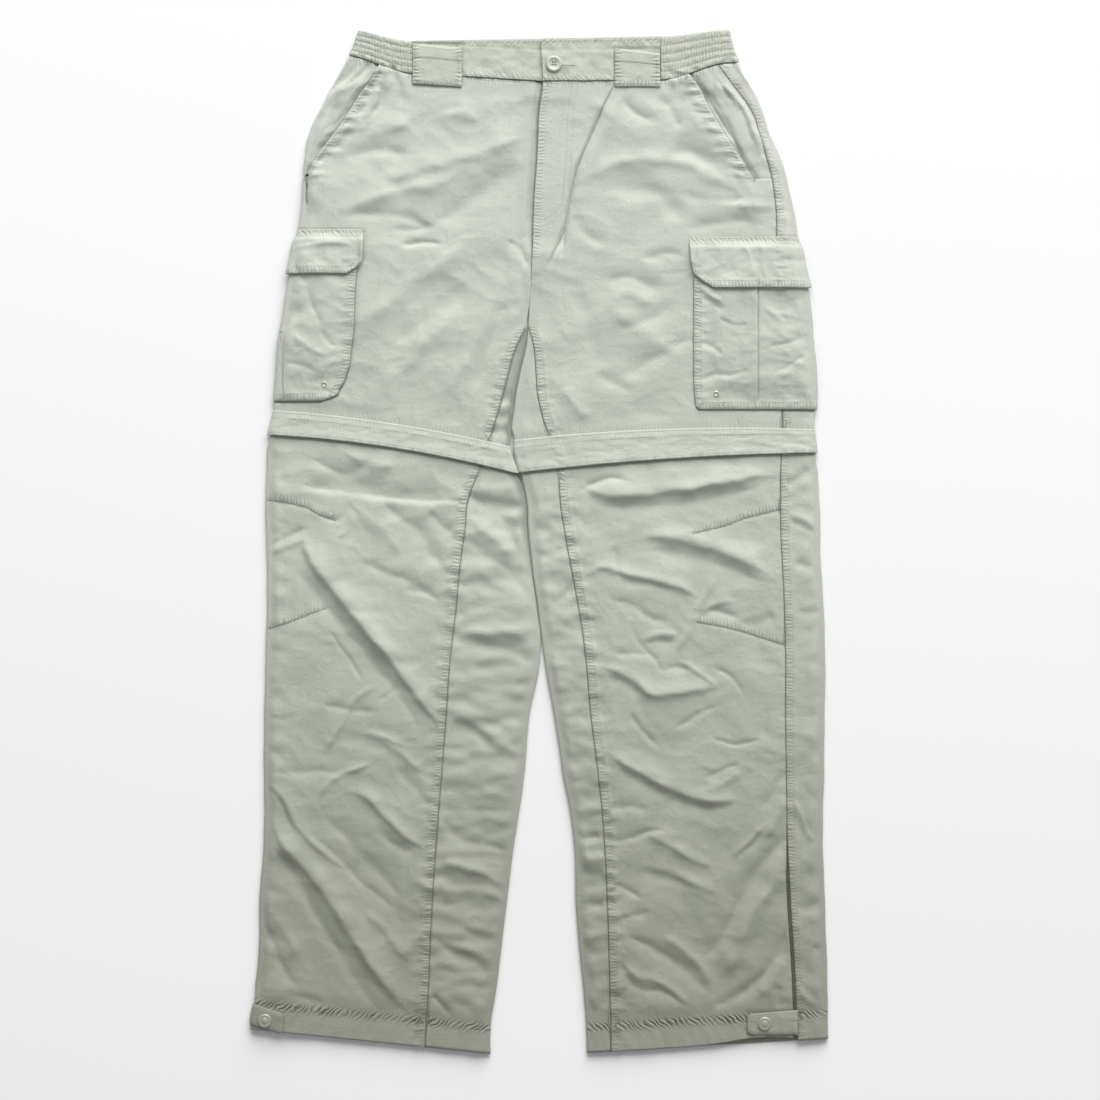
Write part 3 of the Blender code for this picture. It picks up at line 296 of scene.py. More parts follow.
        (-1.1, 5, 89, -462, 107, -479, 133, -479, 155, -495),
        (-0.9, 5, 85, -405, 102, -399, 120, -394),
        (-0.9, 4, 78, -366, 98, -375, 111, -383),
        (-1.3, 3, 37, -314, 48, -320, 67, -313),
        (1.2, 8, 43, -335, 63, -340, 72, -335),
        (-1.3, 7, 44, -355, 61, -359, 72, -353),
        (-0.9, 4, 45, -394, 58, -391, 72, -388),
        (-1, 5, 52, -495, 63, -501, 74, -488),
        (-0.8, 5, 275, -390, 290, -394, 305, -385),
        (-1.2, 3, 292, -433, 301, -438, 307, -433),
        (0.9, 3, 277, -475, 286, -490, 299, -495),
        (0.8, 3, 270, -272, 281, -292, 286, -311, 299, -322),
    ),
    "tucksRight": (
        (-4.2, (3.4, 2.0), 84, 492, 70, 464, 60, 440, 49, 416, 41, 396, 36, 374, 32, 352, 27, 328,
         16, 306, 6, 280),
        (-1.6, 2.5, 28, 336, 27, 316, 24, 300),
        (1.6, 5.0, 92, 484, 78, 452, 66, 428, 57, 406, 48, 384, 43, 362, 38, 340),
        (-2.8, (2.5, 4), 174, 486, 184, 468, 196, 448, 207, 428),
        (-2.0, (3, 6), 204, 488, 213, 476, 226, 460, 237, 441, 243, 415, 244, 398),
        (-2.0, 3, 190, 494, 200, 480, 208, 468),
    ),
    "tucksLeft": (
        (-3.0, (3, 5), -161, 512, -170, 494, -184, 478),
        (-2.8, (3, 6), -176, 514, -188, 498, -211, 482),
        (1.6, 5, -184, 510, -200, 490, -222, 472),
        (-2.4, (3, 6), -192, 508, -208, 492, -228, 476),
        (-2.0, (3, 7), -186, 474, -206, 456, -230, 434),
        (-1.8, (3, 6), -206, 448, -222, 430, -240, 410),
        (2.2, 4, -168, 510, -178, 494, -197, 480),
        (2.2, 5, -206, 490, -222, 474, -238, 452),
        (-2.4, (4, 6), -20, 156, -30, 153, -42, 150),
        (-2.2, (4, 6), -22, 136, -34, 133, -50, 131),
        (-2.8, (4, 6), -22, 118, -38, 115, -56, 117),
        (1.2, 3, -22, 146, -32, 144, -44, 142),
        (1.2, 3, -24, 127, -36, 124, -50, 124),
        (-3.0, (5, 7), -66, 46, -36, 38, -12, 40),
        (-2.4, 5, -20, 30, -17, 5, -13, -22, -8, -50),
    ),
    "pocketLeft": (
        (-0.8, 4, -232, 226, -224, 215, -214, 206),
        (-0.7, 4, -262, 300, -246, 270, -238, 240, -226, 224),
        (0.7, 4, -262, 222, -244, 206, -222, 198),
        (-0.6, 4, -270, 190, -252, 186, -236, 180),
    ),
    "pocketRight": (
        (1.1, 2.5, 172, 274, 184, 262, 196, 252),
        (-1.0, 3.5, 176, 262, 190, 248, 202, 246),
        (-0.8, 3, 192, 238, 206, 230, 226, 230),
        (-0.6, 3, 172, 214, 186, 206, 200, 200),
        (0.7, 3.5, 240, 250, 250, 240, 262, 236),
        (-0.7, 3, 246, 206, 266, 210, 284, 220),
        (-0.8, 3.5, 176, 170, 186, 178, 208, 178, 226, 182),
        (-0.7, 3, 250, 180, 268, 186, 286, 200),
    ),
    "flapLeft": (
        (0.8, 3, -262, 312, -240, 318, -212, 319, -194, 317),
        (-0.5, 4, -240, 306, -226, 296, -212, 290),
    ),
    "flapRight": (
        (0.9, 3, 214, 318, 226, 306, 228, 280),
        (-0.9, 5, 176, 308, 196, 300, 210, 284),
        (0.7, 3, 238, 322, 238, 300, 242, 278),
        (-0.6, 3, 246, 308, 270, 300, 290, 300),
    ),
    "underLeft": (
        (1.3, 9, -60, 430, -130, 380, -200, 300),
        (1.1, 8, -70, 330, -150, 270),
        (1.2, 9, -110, 180, -230, 120),
        (1.3, 9, -40, 20, -150, -40, -240, -60),
        (1.1, 8, -80, -120, -180, -170),
        (1.3, 10, -110, -280, -220, -380),
        (0.9, 7, -70, -420, -150, -470),
    ),
    "underRight": (
        (1.3, 9, 50, 440, 120, 390, 210, 330),
        (1.1, 8, 60, 300, 170, 260),
        (1.2, 9, 60, 170, 220, 140),
        (1.3, 9, 70, 10, 160, -20, 250, -70),
        (1.1, 8, 100, -140, 220, -190),
        (1.3, 10, 120, -300, 230, -360),
        (0.9, 7, 90, -430, 200, -480),
    ),
}


def column(names, rows, name):
    # one column of a table, its rows in rising y
    return np.array([row[names.index(name)] for row in sorted(rows)], dtype=float)


section = {name: column(sectionNames, sectionRows, name) for name in sectionNames}


def edgeTable(rows):
    # the y and the x of an edge, in rising y
    return np.array(sorted(rows), dtype=float).T


def smooth(value):
    value = np.clip(value, 0.0, 1.0)
    return value * value * (3.0 - 2.0 * value)


def bell(value, width):
    return np.exp(-(value / width) ** 2)


def softFloor(value, low, soft):
    # never below low, and rounded where it meets it
    return low + soft * np.logaddexp(0.0, (value - low) / soft)


def between(value, low, high, soft):
    # 1 from low to high, falling to 0 over soft outside them
    return smooth((value - low) / soft + 1.0) * smooth((high - value) / soft + 1.0)


def curveAt(value, places, heights):
    # smooth curve through the rows of a table
    slopes = np.gradient(heights, places)
    value = np.clip(value, places[0], places[-1])
    index = np.clip(np.searchsorted(places, value) - 1, 0, len(places) - 2)
    span = places[index + 1] - places[index]
    t = (value - places[index]) / span
    start = heights[index] + slopes[index] * span * t
    end = heights[index + 1] - slopes[index + 1] * span * (1.0 - t)
    blend = t * t * (3.0 - 2.0 * t)
    return start * (1.0 - blend) + end * blend


noiseTile = 64            # cells before the waves come again


def noiseAt(x, y, size, seed):
    # smooth random waves about this size, between -1 and 1
    turns = np.random.default_rng(seed).uniform(0.0, fullTurn, (noiseTile, noiseTile))
    px = np.asarray(x, dtype=float) / size + 31.7
    py = np.asarray(y, dtype=float) / size + 12.3
    ix = np.floor(px).astype(int)
    iy = np.floor(py).astype(int)
    fx = px - ix
    fy = py - iy
    bx = fx * fx * fx * (fx * (fx * 6.0 - 15.0) + 10.0)
    by = fy * fy * fy * (fy * (fy * 6.0 - 15.0) + 10.0)
    total = 0.0
    for dx in (0, 1):
        for dy in (0, 1):
            turn = turns[(ix + dx) % noiseTile, (iy + dy) % noiseTile]
            slope = np.cos(turn) * (fx - dx) + np.sin(turn) * (fy - dy)
            total = total + slope * (bx if dx else 1.0 - bx) * (by if dy else 1.0 - by)
    return total * 1.5


def sectionAt(y, name):
    return curveAt(y, section["y"], section[name])


def rowLine(side, station, x):
    # height of a row of the cloth at x, for the row that starts here at the inner edge
    rows = lineRows[side]
    places = column(lineNames, rows, "y")
    tilt, bow, hike = (np.interp(station, places, column(lineNames, rows, name))
                       for name in ("tilt", "bow", "hike"))
    ring = ringAt(side, station)
    part = np.clip(np.abs(x - ring["inner"]) / ring["width"], 0.0, 1.0)
    pulled = np.clip((legs[side]["elastic"] - x) * legs[side]["sign"] / 76.0, 0.0, 1.15)
    pulled = np.where(pulled < 1.0, smooth(pulled), 1.0)
    return station + tilt * (x - ring["inner"]) + 4.0 * bow * part * (1.0 - part) + hike * pulled


def sideLayers(y):
    # layers that lift the left leg's outer edge: pocket, flap and hem tab
    cargo = smooth((y - 100.0) / 40.0) + smooth((y - 150.0) / 110.0)
    cargo = cargo * (1.0 - smooth((y - 345.0) / 95.0))
    return np.maximum(cargo, between(y, -530.0, -486.0, 16.0))


def ringAt(side, y):
    # the flattened ring of one leg at the height y
    leg = legs[side]
    sign = leg["sign"]
    dip = smooth((garment["crotch"] + garment["dipReach"] - y) / garment["dipReach"])
    knee = between(y, leg["flapFree"] - 3.0, leg["flapTop"] + 3.0, 10.0)
    tilt = 40.0 if side == "left" else 16.0
    layers = between(y, leg["flapFree"] + tilt - 4.0, leg["flapTop"] + tilt + 4.0, 10.0)
    if side == "left":
        layers = np.maximum(layers, sideLayers(y))
    wave = garment["edgeWave"] * noiseAt(y, 0.0 * y, 34.0, 5 if side == "left" else 6)
    gap = halfGap + dip * (rest + 0.1) + layer * knee
    outer = sectionAt(y, side + "Outer") + sign * (rest + layer * layers + wave)
    inner = sectionAt(y, side + "Inner") - sign * (gap + dip * 0.6 * wave)
    width = (inner - outer) * sign
    return {"outer": outer, "inner": inner, "width": width, "dip": dip,
            "length": width - 2.0 * fold + 2.0 * quarter}


def wayAt(side, ring, x):
    # the way round the ring, from its outer edge, to the place x on top
    along = np.clip((x - ring["outer"]) * legs[side]["sign"], 0.0, None)
    turn = np.arccos(np.clip(1.0 - along / fold, -1.0, 1.0)) * fold
    return np.where(along < fold, turn, quarter + along - fold)


def openingX(side, y):
    return curveAt(y, *edgeTable(openingRows[side]))


def notchX(side):
    x = openingX(side, legs[side]["notch"])
    for _ in range(6):
        x = openingX(side, rowLine(side, legs[side]["notch"], x))
    return x


def openingAway(side, x, y):
    # distance from the edge of the slant pocket, on the front panel
    lowest = openingRows[side][-1][0]
    inward = np.clip((x - openingX(side, y)) * legs[side]["sign"], 0.0, None) * garment["slant"]
    return np.hypot(inward, np.clip(lowest - y, 0.0, None))


def bandRaise(side, x, y):
    return layer * (1.0 - smooth((openingAway(side, x, y) - 13.0) / 14.0))


def flyRaise(x, y):
    away = x - sectionAt(y, "rightInner")
    return layer * (1.0 - smooth((away - 25.0) / 18.0)) * smooth((y - 286.0) / 26.0)


def waistLine(side, x):
    return rowLine(side, waistSeam, x)


def kneeCover(side, x, y):
    leg = legs[side]
    low, high = rowLine(side, leg["flapFree"], x), rowLine(side, leg["flapTop"], x)
    return between(y, low - 4.0, high + 4.0, 14.0)


def waistCover(side, x, y):
    return smooth((y - rowLine(side, waistSeam - 14.0, x)) / 15.0 + 1.0)


def liftAt(side, x, y):
    # panels stand off the floor where other layers lie under them
    height = np.maximum(waistCover(side, x, y), kneeCover(side, x, y))
    if side == "left":
        inward = x - sectionAt(y, "leftOuter")
        reach = np.where(y > 0.0, 104.0, 42.0)
        height = np.maximum(height, sideLayers(y) * (1.0 - smooth((inward - reach) / 34.0)))
    return layer * height


def softLine(numbers):
    # a crease's points, with its corners rounded off
    line = np.array(numbers, dtype=float).reshape(-1, 2)
    for _ in range(2):
        if len(line) < 3:
            break
        first = line[:-1] * 0.75 + line[1:] * 0.25
        last = line[:-1] * 0.25 + line[1:] * 0.75
        line = np.concatenate([line[:1], np.stack([first, last], axis=1).reshape(-1, 2), line[-1:]])
    return line


def creaseHeight(x, y, rows, wander=1.0):
    # soft, slightly sharp-backed ridges and troughs along the listed lines
    wanderX = x + wander * (2.2 * noiseAt(x, y, 34.0, 11) + 0.7 * noiseAt(x, y, 11.0, 13))
    wanderY = y + wander * (2.2 * noiseAt(x, y, 34.0, 12) + 0.7 * noiseAt(x, y, 11.0, 14))
    uneven = 1.0 + 0.4 * wander * noiseAt(x, y, 24.0, 15)
    height = np.zeros(np.shape(x))
    for row in rows:
        # a pair of widths is the left and the right of the line, so one side can be steep
        peak, widths = row[0], np.broadcast_to(row[1], (2,))
        line = softLine(row[2:])
        reach = 3.6 * widths.max()
        near = ((wanderX > line[:, 0].min() - reach) & (wanderX < line[:, 0].max() + reach)
                & (wanderY > line[:, 1].min() - reach) & (wanderY < line[:, 1].max() + reach))
        if not near.any():
            continue
        px = wanderX[near]
        py = wanderY[near]
        steps = np.hypot(*(line[1:] - line[:-1]).T)
        starts = np.concatenate([[0.0], np.cumsum(steps)])
        best = np.full(px.shape, 1e9)
        along = np.zeros(px.shape)
        leftward = np.full(px.shape, False)
        for i, step in enumerate(steps):
            dx, dy = (line[i + 1] - line[i]) / step
            t = np.clip((px - line[i, 0]) * dx + (py - line[i, 1]) * dy, 0.0, step)
            away = np.hypot(px - line[i, 0] - t * dx, py - line[i, 1] - t * dy)
            closer = away < best
            best = np.where(closer, away, best)
            along = np.where(closer, (starts[i] + t) / starts[-1], along)
            leftward = np.where(closer, dx * (py - line[i, 1]) - dy * (px - line[i, 0]) > 0.0, leftward)
        taper = smooth(along / 0.22) * smooth((1.0 - along) / 0.22)
        width = np.where(leftward, widths[0], widths[1]) * (0.4 + 0.6 * taper)
        roundOff = 0.55 * width
        profile = np.exp(-(np.hypot(best, roundOff) - roundOff) / (0.6 * width))
        profile = profile * smooth((reach - best) / widths.max())
        height[near] += peak * profile * (0.05 + 0.95 * taper) * uneven[near]
    return height


def crumple(x, y, seed):
    # the cloth's own unevenness: broad waves with soft ridges on them
    wanderX = x + 14.0 * noiseAt(x, y, 75.0, seed + 1)
    wanderY = y + 14.0 * noiseAt(x, y, 75.0, seed + 2)
    broad = noiseAt(wanderX * 0.8 + wanderY * 0.6, wanderY - wanderX * 0.5, 60.0, seed + 3)
    ridged = noiseAt(wanderX * 0.8 + wanderY * 0.5, wanderY * 0.9 - wanderX * 0.3, 34.0, seed + 4)
    ridged = 0.5 - np.abs(ridged)
    small = 0.5 - np.abs(noiseAt(wanderX, wanderY, 15.0, seed + 5))
    fine = noiseAt(x, y, 6.5, seed + 6)
    return 1.3 * broad + 0.8 * ridged + 0.30 * small + 0.09 * fine


def pucker(along, away, size, reach, seed):
    # ripples that run across a seam and die away beside it
    ripple = noiseAt(along, away * 0.3 + 50.0 * seed, size, 40 + seed)
    ripple = ripple + 0.5 * noiseAt(along, away * 0.4 + 90.0 * seed, size * 0.55, 60 + seed)
    return ripple * np.exp(-(np.abs(away) / reach) ** 1.5)


darts = {
    "left": ((-289, 43, -265, 40, -246, 35, -233, 27, -214, 21),
             (-289, -95, -265, -87, -242, -78, -225, -72)),
    "right": ((258, 33, 221, 24, 198, 15, 163, 7), (264, -112, 221, -98, 198, -92, 169, -87)),
}


def dartLine(numbers):
    # the x and the y of a dart's points, from left to right
    line = np.array(numbers, dtype=float).reshape(-1, 2)
    return line[np.argsort(line[:, 0])].T


def seamRelief(side, x, y):
    # puckers and turned edges along the seams that show on top
    leg = legs[side]
    sign = leg["sign"]
    below = smooth((garment["crotch"] - y) / 12.0)
    away = (sectionAt(y, side + "Inseam") - x) * sign
    height = below * (0.42 * between(away, 1.5, 10.5, 1.6) + 0.85 * pucker(y, away - 5.0, 5.6, 9.0, 1))
    centre = (x - sectionAt(y, "rightInner")) * (-sign)
    height = height + (1.0 - below) * 0.4 * pucker(y, centre, 9.0, 9.0, 2)
    if side == "right":
        away = x - sectionAt(y, "rightOutseam")
        edge = 0.35 * between(away, 1.5, 10.0, 1.6) + 0.8 * pucker(y, away - 4.0, 6.0, 9.0, 3)
        height = height + edge * smooth((440.0 - y) / 30.0)
    height = height + creaseHeight(x, y, creases["tucks" + side.capitalize()], 0.25)
    # slant pocket
    inward = (x - openingX(side, y)) * sign * garment["slant"]
    edge = 3.0 * pucker(y, inward - 7.0, 8.5, 8.0, 4) - 0.8 * bell(inward - 15.0, 2.0)
    height = height + edge * between(y, 392.0, 500.0, 12.0)
    # waist, with more gathers under the elastic
    fromWaist = waistLine(side, x) - y
    gather = smooth((leg["elastic"] + 6.0 * sign - x) * sign / 18.0)
    edge = 0.42 * pucker(x, fromWaist, 9.0, 9.0, 5) + 2.3 * gather * pucker(x, fromWaist, 9.5, 28.0, 6)
    height = height + edge * smooth((fromWaist + 6.0) / 5.0)
    # storm flap and hem
    toFlap = y - rowLine(side, leg["flapTop"] + 4.0, x)
    toFree = y - rowLine(side, leg["flapFree"], x)
    toHem = y - rowLine(side, leg["hem"] + garment["hemWidth"], x)
    height = height + 0.25 * pucker(x, toFlap, 6.5, 8.0, 7)
    height = height + 0.35 * pucker(x, toFree, 10.0, 14.0, 8) * smooth(1.0 - toFree / 6.0)
    height = height + 0.4 * between(toHem, -60.0, -1.5, 1.5)
    wave = noiseAt(x - 0.5 * sign * y, 0.4 * y, 10.0, 73)
    height = height + 0.6 * wave * between(toHem, -30.0, 0.0, 6.0)
    for number, numbers in enumerate(darts[side]):
        dartX, dartY = dartLine(numbers)
        away = y - np.interp(x, dartX, dartY)
        edge = 0.55 * pucker(x, away, 8.0, 9.0, 9 + number) - 0.8 * bell(away, 1.5)
        height = height + edge * between(x, dartX[0], dartX[-1], 5.0)
    return height


def topRelief(side, x, y, fromOuter, fromInner):
    # height of the top layer over its flat place
    leg = legs[side]
    label = side.capitalize()
    laid = creaseHeight(x, y, creases["shorts" + label] + creases["leg" + label])
    body = garment["loft"] + garment["creaseShare"] * laid
    body = body + garment["crumpleShare"] * crumple(x, y, 20 if side == "left" else 30)
    hemNear = 1.0 - smooth((y - rowLine(side, leg["hem"], x) - 20.0) / 30.0)
    cover = np.maximum(0.75 * waistCover(side, x, y), 0.55 * kneeCover(side, x, y))
    cover = np.maximum(cover, 0.75 * hemNear)
    middle = 12.0 if side == "right" else 2.0
    flat = 1.0 - smooth((np.abs(x - sectionAt(y, "rightInner") - middle) - 16.0) / 14.0)
    cover = np.maximum(cover, (0.6 if side == "right" else 0.85) * flat * smooth((y - 300.0) / 25.0))
    inner = 1.0 - smooth((garment["crotch"] + 55.0 - y) / 45.0)
    edge = smooth((fromOuter - quarter) / 11.0)
    edge = edge * np.maximum(inner, smooth((fromInner - quarter) / 11.0))
    strip = 1.0 - smooth(((sectionAt(y, side + "Inseam") - x) * leg["sign"] - 4.0) / 22.0)
    strip = strip * smooth((60.0 - y) / 30.0) * smooth((y - leg["hem"] - 34.0) / 20.0)
    short = noiseAt(0.35 * x + 0.12 * y * leg["sign"], y, 17.0, 74) + 0.5 * noiseAt(0.5 * x, y, 9.0, 75)
    outer = 1.0 - smooth((fromOuter - 16.0) / 14.0)
    puffs = noiseAt(0.5 * x, y, 15.0, 76) * outer * smooth((y - leg["hem"] - 34.0) / 20.0)
    if side == "left":
        past = smooth((x - sectionAt(y, "leftInseam")) / 5.0) * between(y, 108.0, 226.0, 10.0)
        body = body * (1.0 - 0.4 * past) + 2.6 * past * short
    body = body + 2.3 * strip * short + 1.6 * puffs
    near = smooth((fromOuter - 1.0) / 4.0) * np.maximum(inner, smooth((fromInner - 2.5) / 4.0))
    body = softFloor(body * (1.0 - cover), -1.3, 1.2) * edge
    return softFloor(body + seamRelief(side, x, y) * near, -1.6, 0.6)


def underRelief(side, x, y, fromOuter, fromInner):
    # the underside lies on the floor, with shallow hollows
    body = creaseHeight(x, y, creases["under" + side.capitalize()])
    body = body + 0.6 * crumple(x, y, 50 if side == "left" else 60) - 0.25
    edge = smooth((fromOuter - quarter) / 22.0) * smooth((fromInner - quarter) / 22.0)
    return np.clip(body, 0.0, 1.5) * edge


def ditch(away, depth, reach):
    # the cloth dips a little beside the edge of a piece sewn on it, and under that edge
    return -depth * smooth((reach - away) / reach) * smooth((away + 9.0) / 4.0)


def boxAway(x, y, left, right, low, high):
    return np.maximum(np.maximum(left - x, x - right), np.maximum(low - y, y - high))


def pocketAway(side, x, y):
    # how far a place lies outside the pocket and its flap
    facts, sign = cargoFacts[side], legs[side]["sign"]
    pocket = np.maximum(facts["bottom"] - y, y - facts["top"])
    pocket = np.maximum(pocket, (x - pocketFront(side, y)) * sign)
    flap = np.maximum(facts["flapBottom"] - y, y - facts["flapTop"])
    return np.minimum(pocket, np.maximum(flap, (x - flapFront(side, y)) * sign))


tabBoxes = {"left": (-330.0, -274.0, -530.0, -505.0), "right": (223.5, 277.5, -527.5, -503.0)}


def panelDitches(side, x, y):
    # all the dips of the top layer
    leg, loop = legs[side], frontLoops[side]
    fromWaist = waistLine(side, x) - y
    toFree = rowLine(side, leg["flapFree"], x) - y
    past = rowLine(side, leg["flapTop"], x) - y
    low = ditch(fromWaist - 0.4, 1.1, 3.0) + ditch(boxAway(x, y, *tabBoxes[side]), 0.9, 2.6)
    underFlap = smooth((cargoFacts[side]["flapTop"] + 1.0 - y) / 4.0)
    low = low + ditch(pocketAway(side, x, y), 1.5, 2.8) * underFlap
    low = low + ditch(toFree, 1.3, 3.4) * smooth((leg["flapTop"] + 20.0 - y) / 4.0)
    low = low - 0.7 * smooth((past - 1.2) / 2.0) * smooth((20.0 - past) / 6.0)
    besideLoop = ditch(boxAway(x, y, *loop["x"], min(loop["low"]), 560.0), 0.8, 2.4)
    low = low + besideLoop * smooth(fromWaist / 3.0)
    if side == "left":
        # the strip beside the crotch lies lower
        past = x - sectionAt(y, "leftInseam")
        low = low - 1.8 * smooth((past + 2.0) / 5.0) * between(y, 100.0, 262.0, 30.0)
    return low


def topDitches(side):
    # the same dips where a back panel comes over onto the top
    def outward(x, y, u):
        length = ringAt(side, y)["length"]
        onTopLayer = (u < length - quarter) | (u > 2.0 * length + quarter)
        return np.where(onTopLayer, panelDitches(side, x, y), 0.0)
    return outward


def ringPlace(side, y, u, out, openEnd=False, relief=True):
    # x and height of the place u round the ring at y, moved outwards by out
    ring = ringAt(side, y)
    length = ring["length"]
    # past the outer edge again the cloth lies on top
    u = np.where(u > 2.0 * length, u - 2.0 * length, u)
    beyond = u > length
    under = (u < 0.0) | (beyond & (not openEnd))
    v = np.where(u < 0.0, -u, np.where(beyond & (not openEnd), 2.0 * length - u, u))
    fromEnd = length - v
    turnOut = np.clip(v, 0.0, quarter) / fold
    turnIn = np.clip(quarter - fromEnd, 0.0, quarter) / fold
    atOuter = v < quarter
    atInner = fromEnd < quarter
    along = np.where(atOuter, fold * (1.0 - np.cos(turnOut)), fold + v - quarter)
    along = np.where(atInner, ring["width"] - fold * (1.0 - np.sin(turnIn)), along)
    along = along + np.clip(-fromEnd, 0.0, None)
    rise = np.where(atOuter, fold * np.sin(turnOut), fold)
    rise = np.where(atInner, fold * (1.0 - ring["dip"] * (1.0 - np.cos(turnIn))), rise)
    lean = np.where(atOuter, -np.cos(turnOut), 0.0)
    lean = np.where(atInner, ring["dip"] * np.sin(turnIn), lean)
    x = ring["outer"] + legs[side]["sign"] * (along + out * lean)
    if not relief:
        return x, None
    stand = np.sqrt(1.0 - lean * lean)
    high = np.where(under, underRelief(side, x, y, v, fromEnd), topRelief(side, x, y, v, fromEnd))
    z = rest + fold + np.where(under, -1.0, 1.0) * (rise + out * stand) + liftAt(side, x, y) + high
    return x, z


def placeRows(side, stations, knots, counts, outward=0.0, openEnd=False):
    # grid of points: a row for each station, its columns shared out between the knots
    stations = np.asarray(stations, dtype=float)
    marks = [0.0]
    for count in counts:
        marks += [marks[-1] + (step + 1.0) / count for step in range(count)]
    marks = np.array([min(mark, len(counts)) for mark in marks])
    station = np.repeat(stations[:, None], len(marks), axis=1)
    mark = np.repeat(marks[None, :], len(stations), axis=0)
    y = station.copy()
    for _ in range(4):
        ring = ringAt(side, y)
        heights = knots(ring, y, station)
        u = np.zeros_like(y)
        for index in range(len(counts)):
            part = np.clip(mark - index, 0.0, 1.0)
            chosen = (mark >= index) if index else np.full(mark.shape, True)
            u = np.where(chosen, heights[index] + part * (heights[index + 1] - heights[index]), u)
        x = ringPlace(side, y, u, 0.0, openEnd, relief=False)[0]
        y = rowLine(side, station, x)
    out = outward(x, y, u) if callable(outward) else outward
    x, z = ringPlace(side, y, u, out, openEnd)
    return np.stack([x, y, z], axis=2)


def onTop(side, x, y, out):
    # points on the top layer, by plain x and y
    x = np.asarray(x, dtype=float)
    y = np.asarray(y, dtype=float)
    z = ringPlace(side, y, wayAt(side, ringAt(side, y), x), out, True)[1]
    return np.stack([x, y, z], axis=-1)


def clampAll(knots, low, high):
    return [np.minimum(np.maximum(knot, low), high) for knot in knots]


def spaced(start, end, pitch):
    count = max(1, round(abs(end - start) / pitch))
    return list(np.linspace(start, end, count + 1))


def toWorld(points):
    points = np.asarray(points, dtype=float)
    return (points - np.array([garment["originX"], garment["originY"], 0.0])) * mm


# materials

seamLabels = ("seamAway", "seamAlong", "seamPull")


def feed(tree, socket, value):
    # an output is linked to the socket, anything else is set on it
    if isinstance(value, bpy.types.NodeSocket):
        tree.links.new(value, socket)
    else:
        socket.default_value = value


def addNode(tree, kind, inputs=(), **settings):
    node = tree.nodes.new(kind)
    for label, value in settings.items():
        setattr(node, label, value)
    for label, value in dict(inputs).items():
        feed(tree, node.inputs[label], value)
    return node


def newGroup(name, inputs, outputs):
    tree = bpy.data.node_groups.new(name, "ShaderNodeTree")
    for label, value in inputs.items():
        kind = "NodeSocketColor" if isinstance(value, tuple) else "NodeSocketFloat"
        socket = tree.interface.new_socket(name=label, in_out="INPUT", socket_type=kind)
        socket.default_value = value
    for label in outputs:
        kind = "NodeSocketColor" if label == "Colour" else "NodeSocketFloat"
        tree.interface.new_socket(name=label, in_out="OUTPUT", socket_type=kind)
    return tree, addNode(tree, "NodeGroupInput").outputs, addNode(tree, "NodeGroupOutput").inputs


def mathNode(tree, kind, *values):
    return addNode(tree, "ShaderNodeMath", enumerate(values), operation=kind).outputs[0]


def arithmetic(tree):
    kinds = ("ADD", "SUBTRACT", "MULTIPLY", "DIVIDE")
    return [partial(mathNode, tree, kind) for kind in kinds]


def noiseNode(tree, vector, scale, detail, roughness=0.5):
    return addNode(tree, "ShaderNodeTexNoise", {"Vector": vector, "Scale": scale, "Detail": detail,
                                                "Roughness": roughness}).outputs["Fac"]


def objectPlace(tree):
    # Object coordinates, whole and as x, y and z
    place = addNode(tree, "ShaderNodeTexCoord").outputs["Object"]
    return place, addNode(tree, "ShaderNodeSeparateXYZ", {0: place}).outputs


def mixColours(tree, share, first, second):
    # the colour sockets of a Mix node share their names with the float ones
    return addNode(tree, "ShaderNodeMix", {0: share, 6: first, 7: second}, data_type="RGBA",
                   clamp_factor=True).outputs[2]


def makeWeaveGroup():
    # fine plain weave with slubs, and the micro crumple of washed nylon
    tree, inn, out = newGroup("washedNylonWeave", {"Threads per metre": 2100.0, "Crumple size": 150.0,
                                                   "Crumple share": 0.8}, ("Height", "Mottle"))
    plus, minus, times = arithmetic(tree)[:3]
    place, axes = objectPlace(tree)
    warp, weft = [mathNode(tree, "SINE", times(times(axis, inn["Threads per metre"]), fullTurn))
                  for axis in axes[:2]]
    slub = noiseNode(tree, place, 900.0, 2.0)
    coarse = noiseNode(tree, place, inn["Crumple size"], 5.0, 0.62)
    crumpled = times(mathNode(tree, "ABSOLUTE", minus(coarse, 0.5)), inn["Crumple share"])
    fine = times(plus(times(times(warp, weft), 0.5), slub), 0.15)
    feed(tree, out["Height"], plus(crumpled, fine))
    feed(tree, out["Mottle"], plus(times(slub, 0.5), times(noiseNode(tree, place, 22.0, 4.0), 0.5)))
    return tree


def makeSeamGroup():
    # small tucks that the stitching pulls into the cloth, a painted shade line at the seam itself, and
    # painted shade in the tucks' troughs
    tree, inn, out = newGroup("seamTucksAndPaintedShade", {"Tuck pitch": 3.7, "Tuck height": 0.26, "Reach": 3.6},
                              ("Height", "Shade"))
    plus, minus, times, over = arithmetic(tree)
    away, along, pull = [addNode(tree, "ShaderNodeAttribute", attribute_name=label).outputs["Fac"]
                         for label in seamLabels]
    place = objectPlace(tree)[0]

    def bellOf(value):
        return mathNode(tree, "EXPONENT", times(times(value, value), -1.0))

    turns = plus(over(along, inn["Tuck pitch"]), times(noiseNode(tree, place, 75.0, 1.0), 2.2))
    wave = mathNode(tree, "SINE", times(turns, fullTurn))
    fall = bellOf(over(minus(away, 4.0), inn["Reach"]))
    patchy = times(noiseNode(tree, place, 48.0, 1.0), 2.0)
    tuck = times(times(wave, fall), times(patchy, pull))
    # painted shade along the seam line, where the two cloths meet
    line = bellOf(over(away, 0.8))
    feed(tree, out["Height"], minus(times(tuck, inn["Tuck height"]), times(line, 0.4)))
    # painted shade in the troughs of the tucks
    low = mathNode(tree, "MAXIMUM", times(tuck, -0.30), 0.0)
    feed(tree, out["Shade"], plus(times(line, 0.55), low))
    return tree


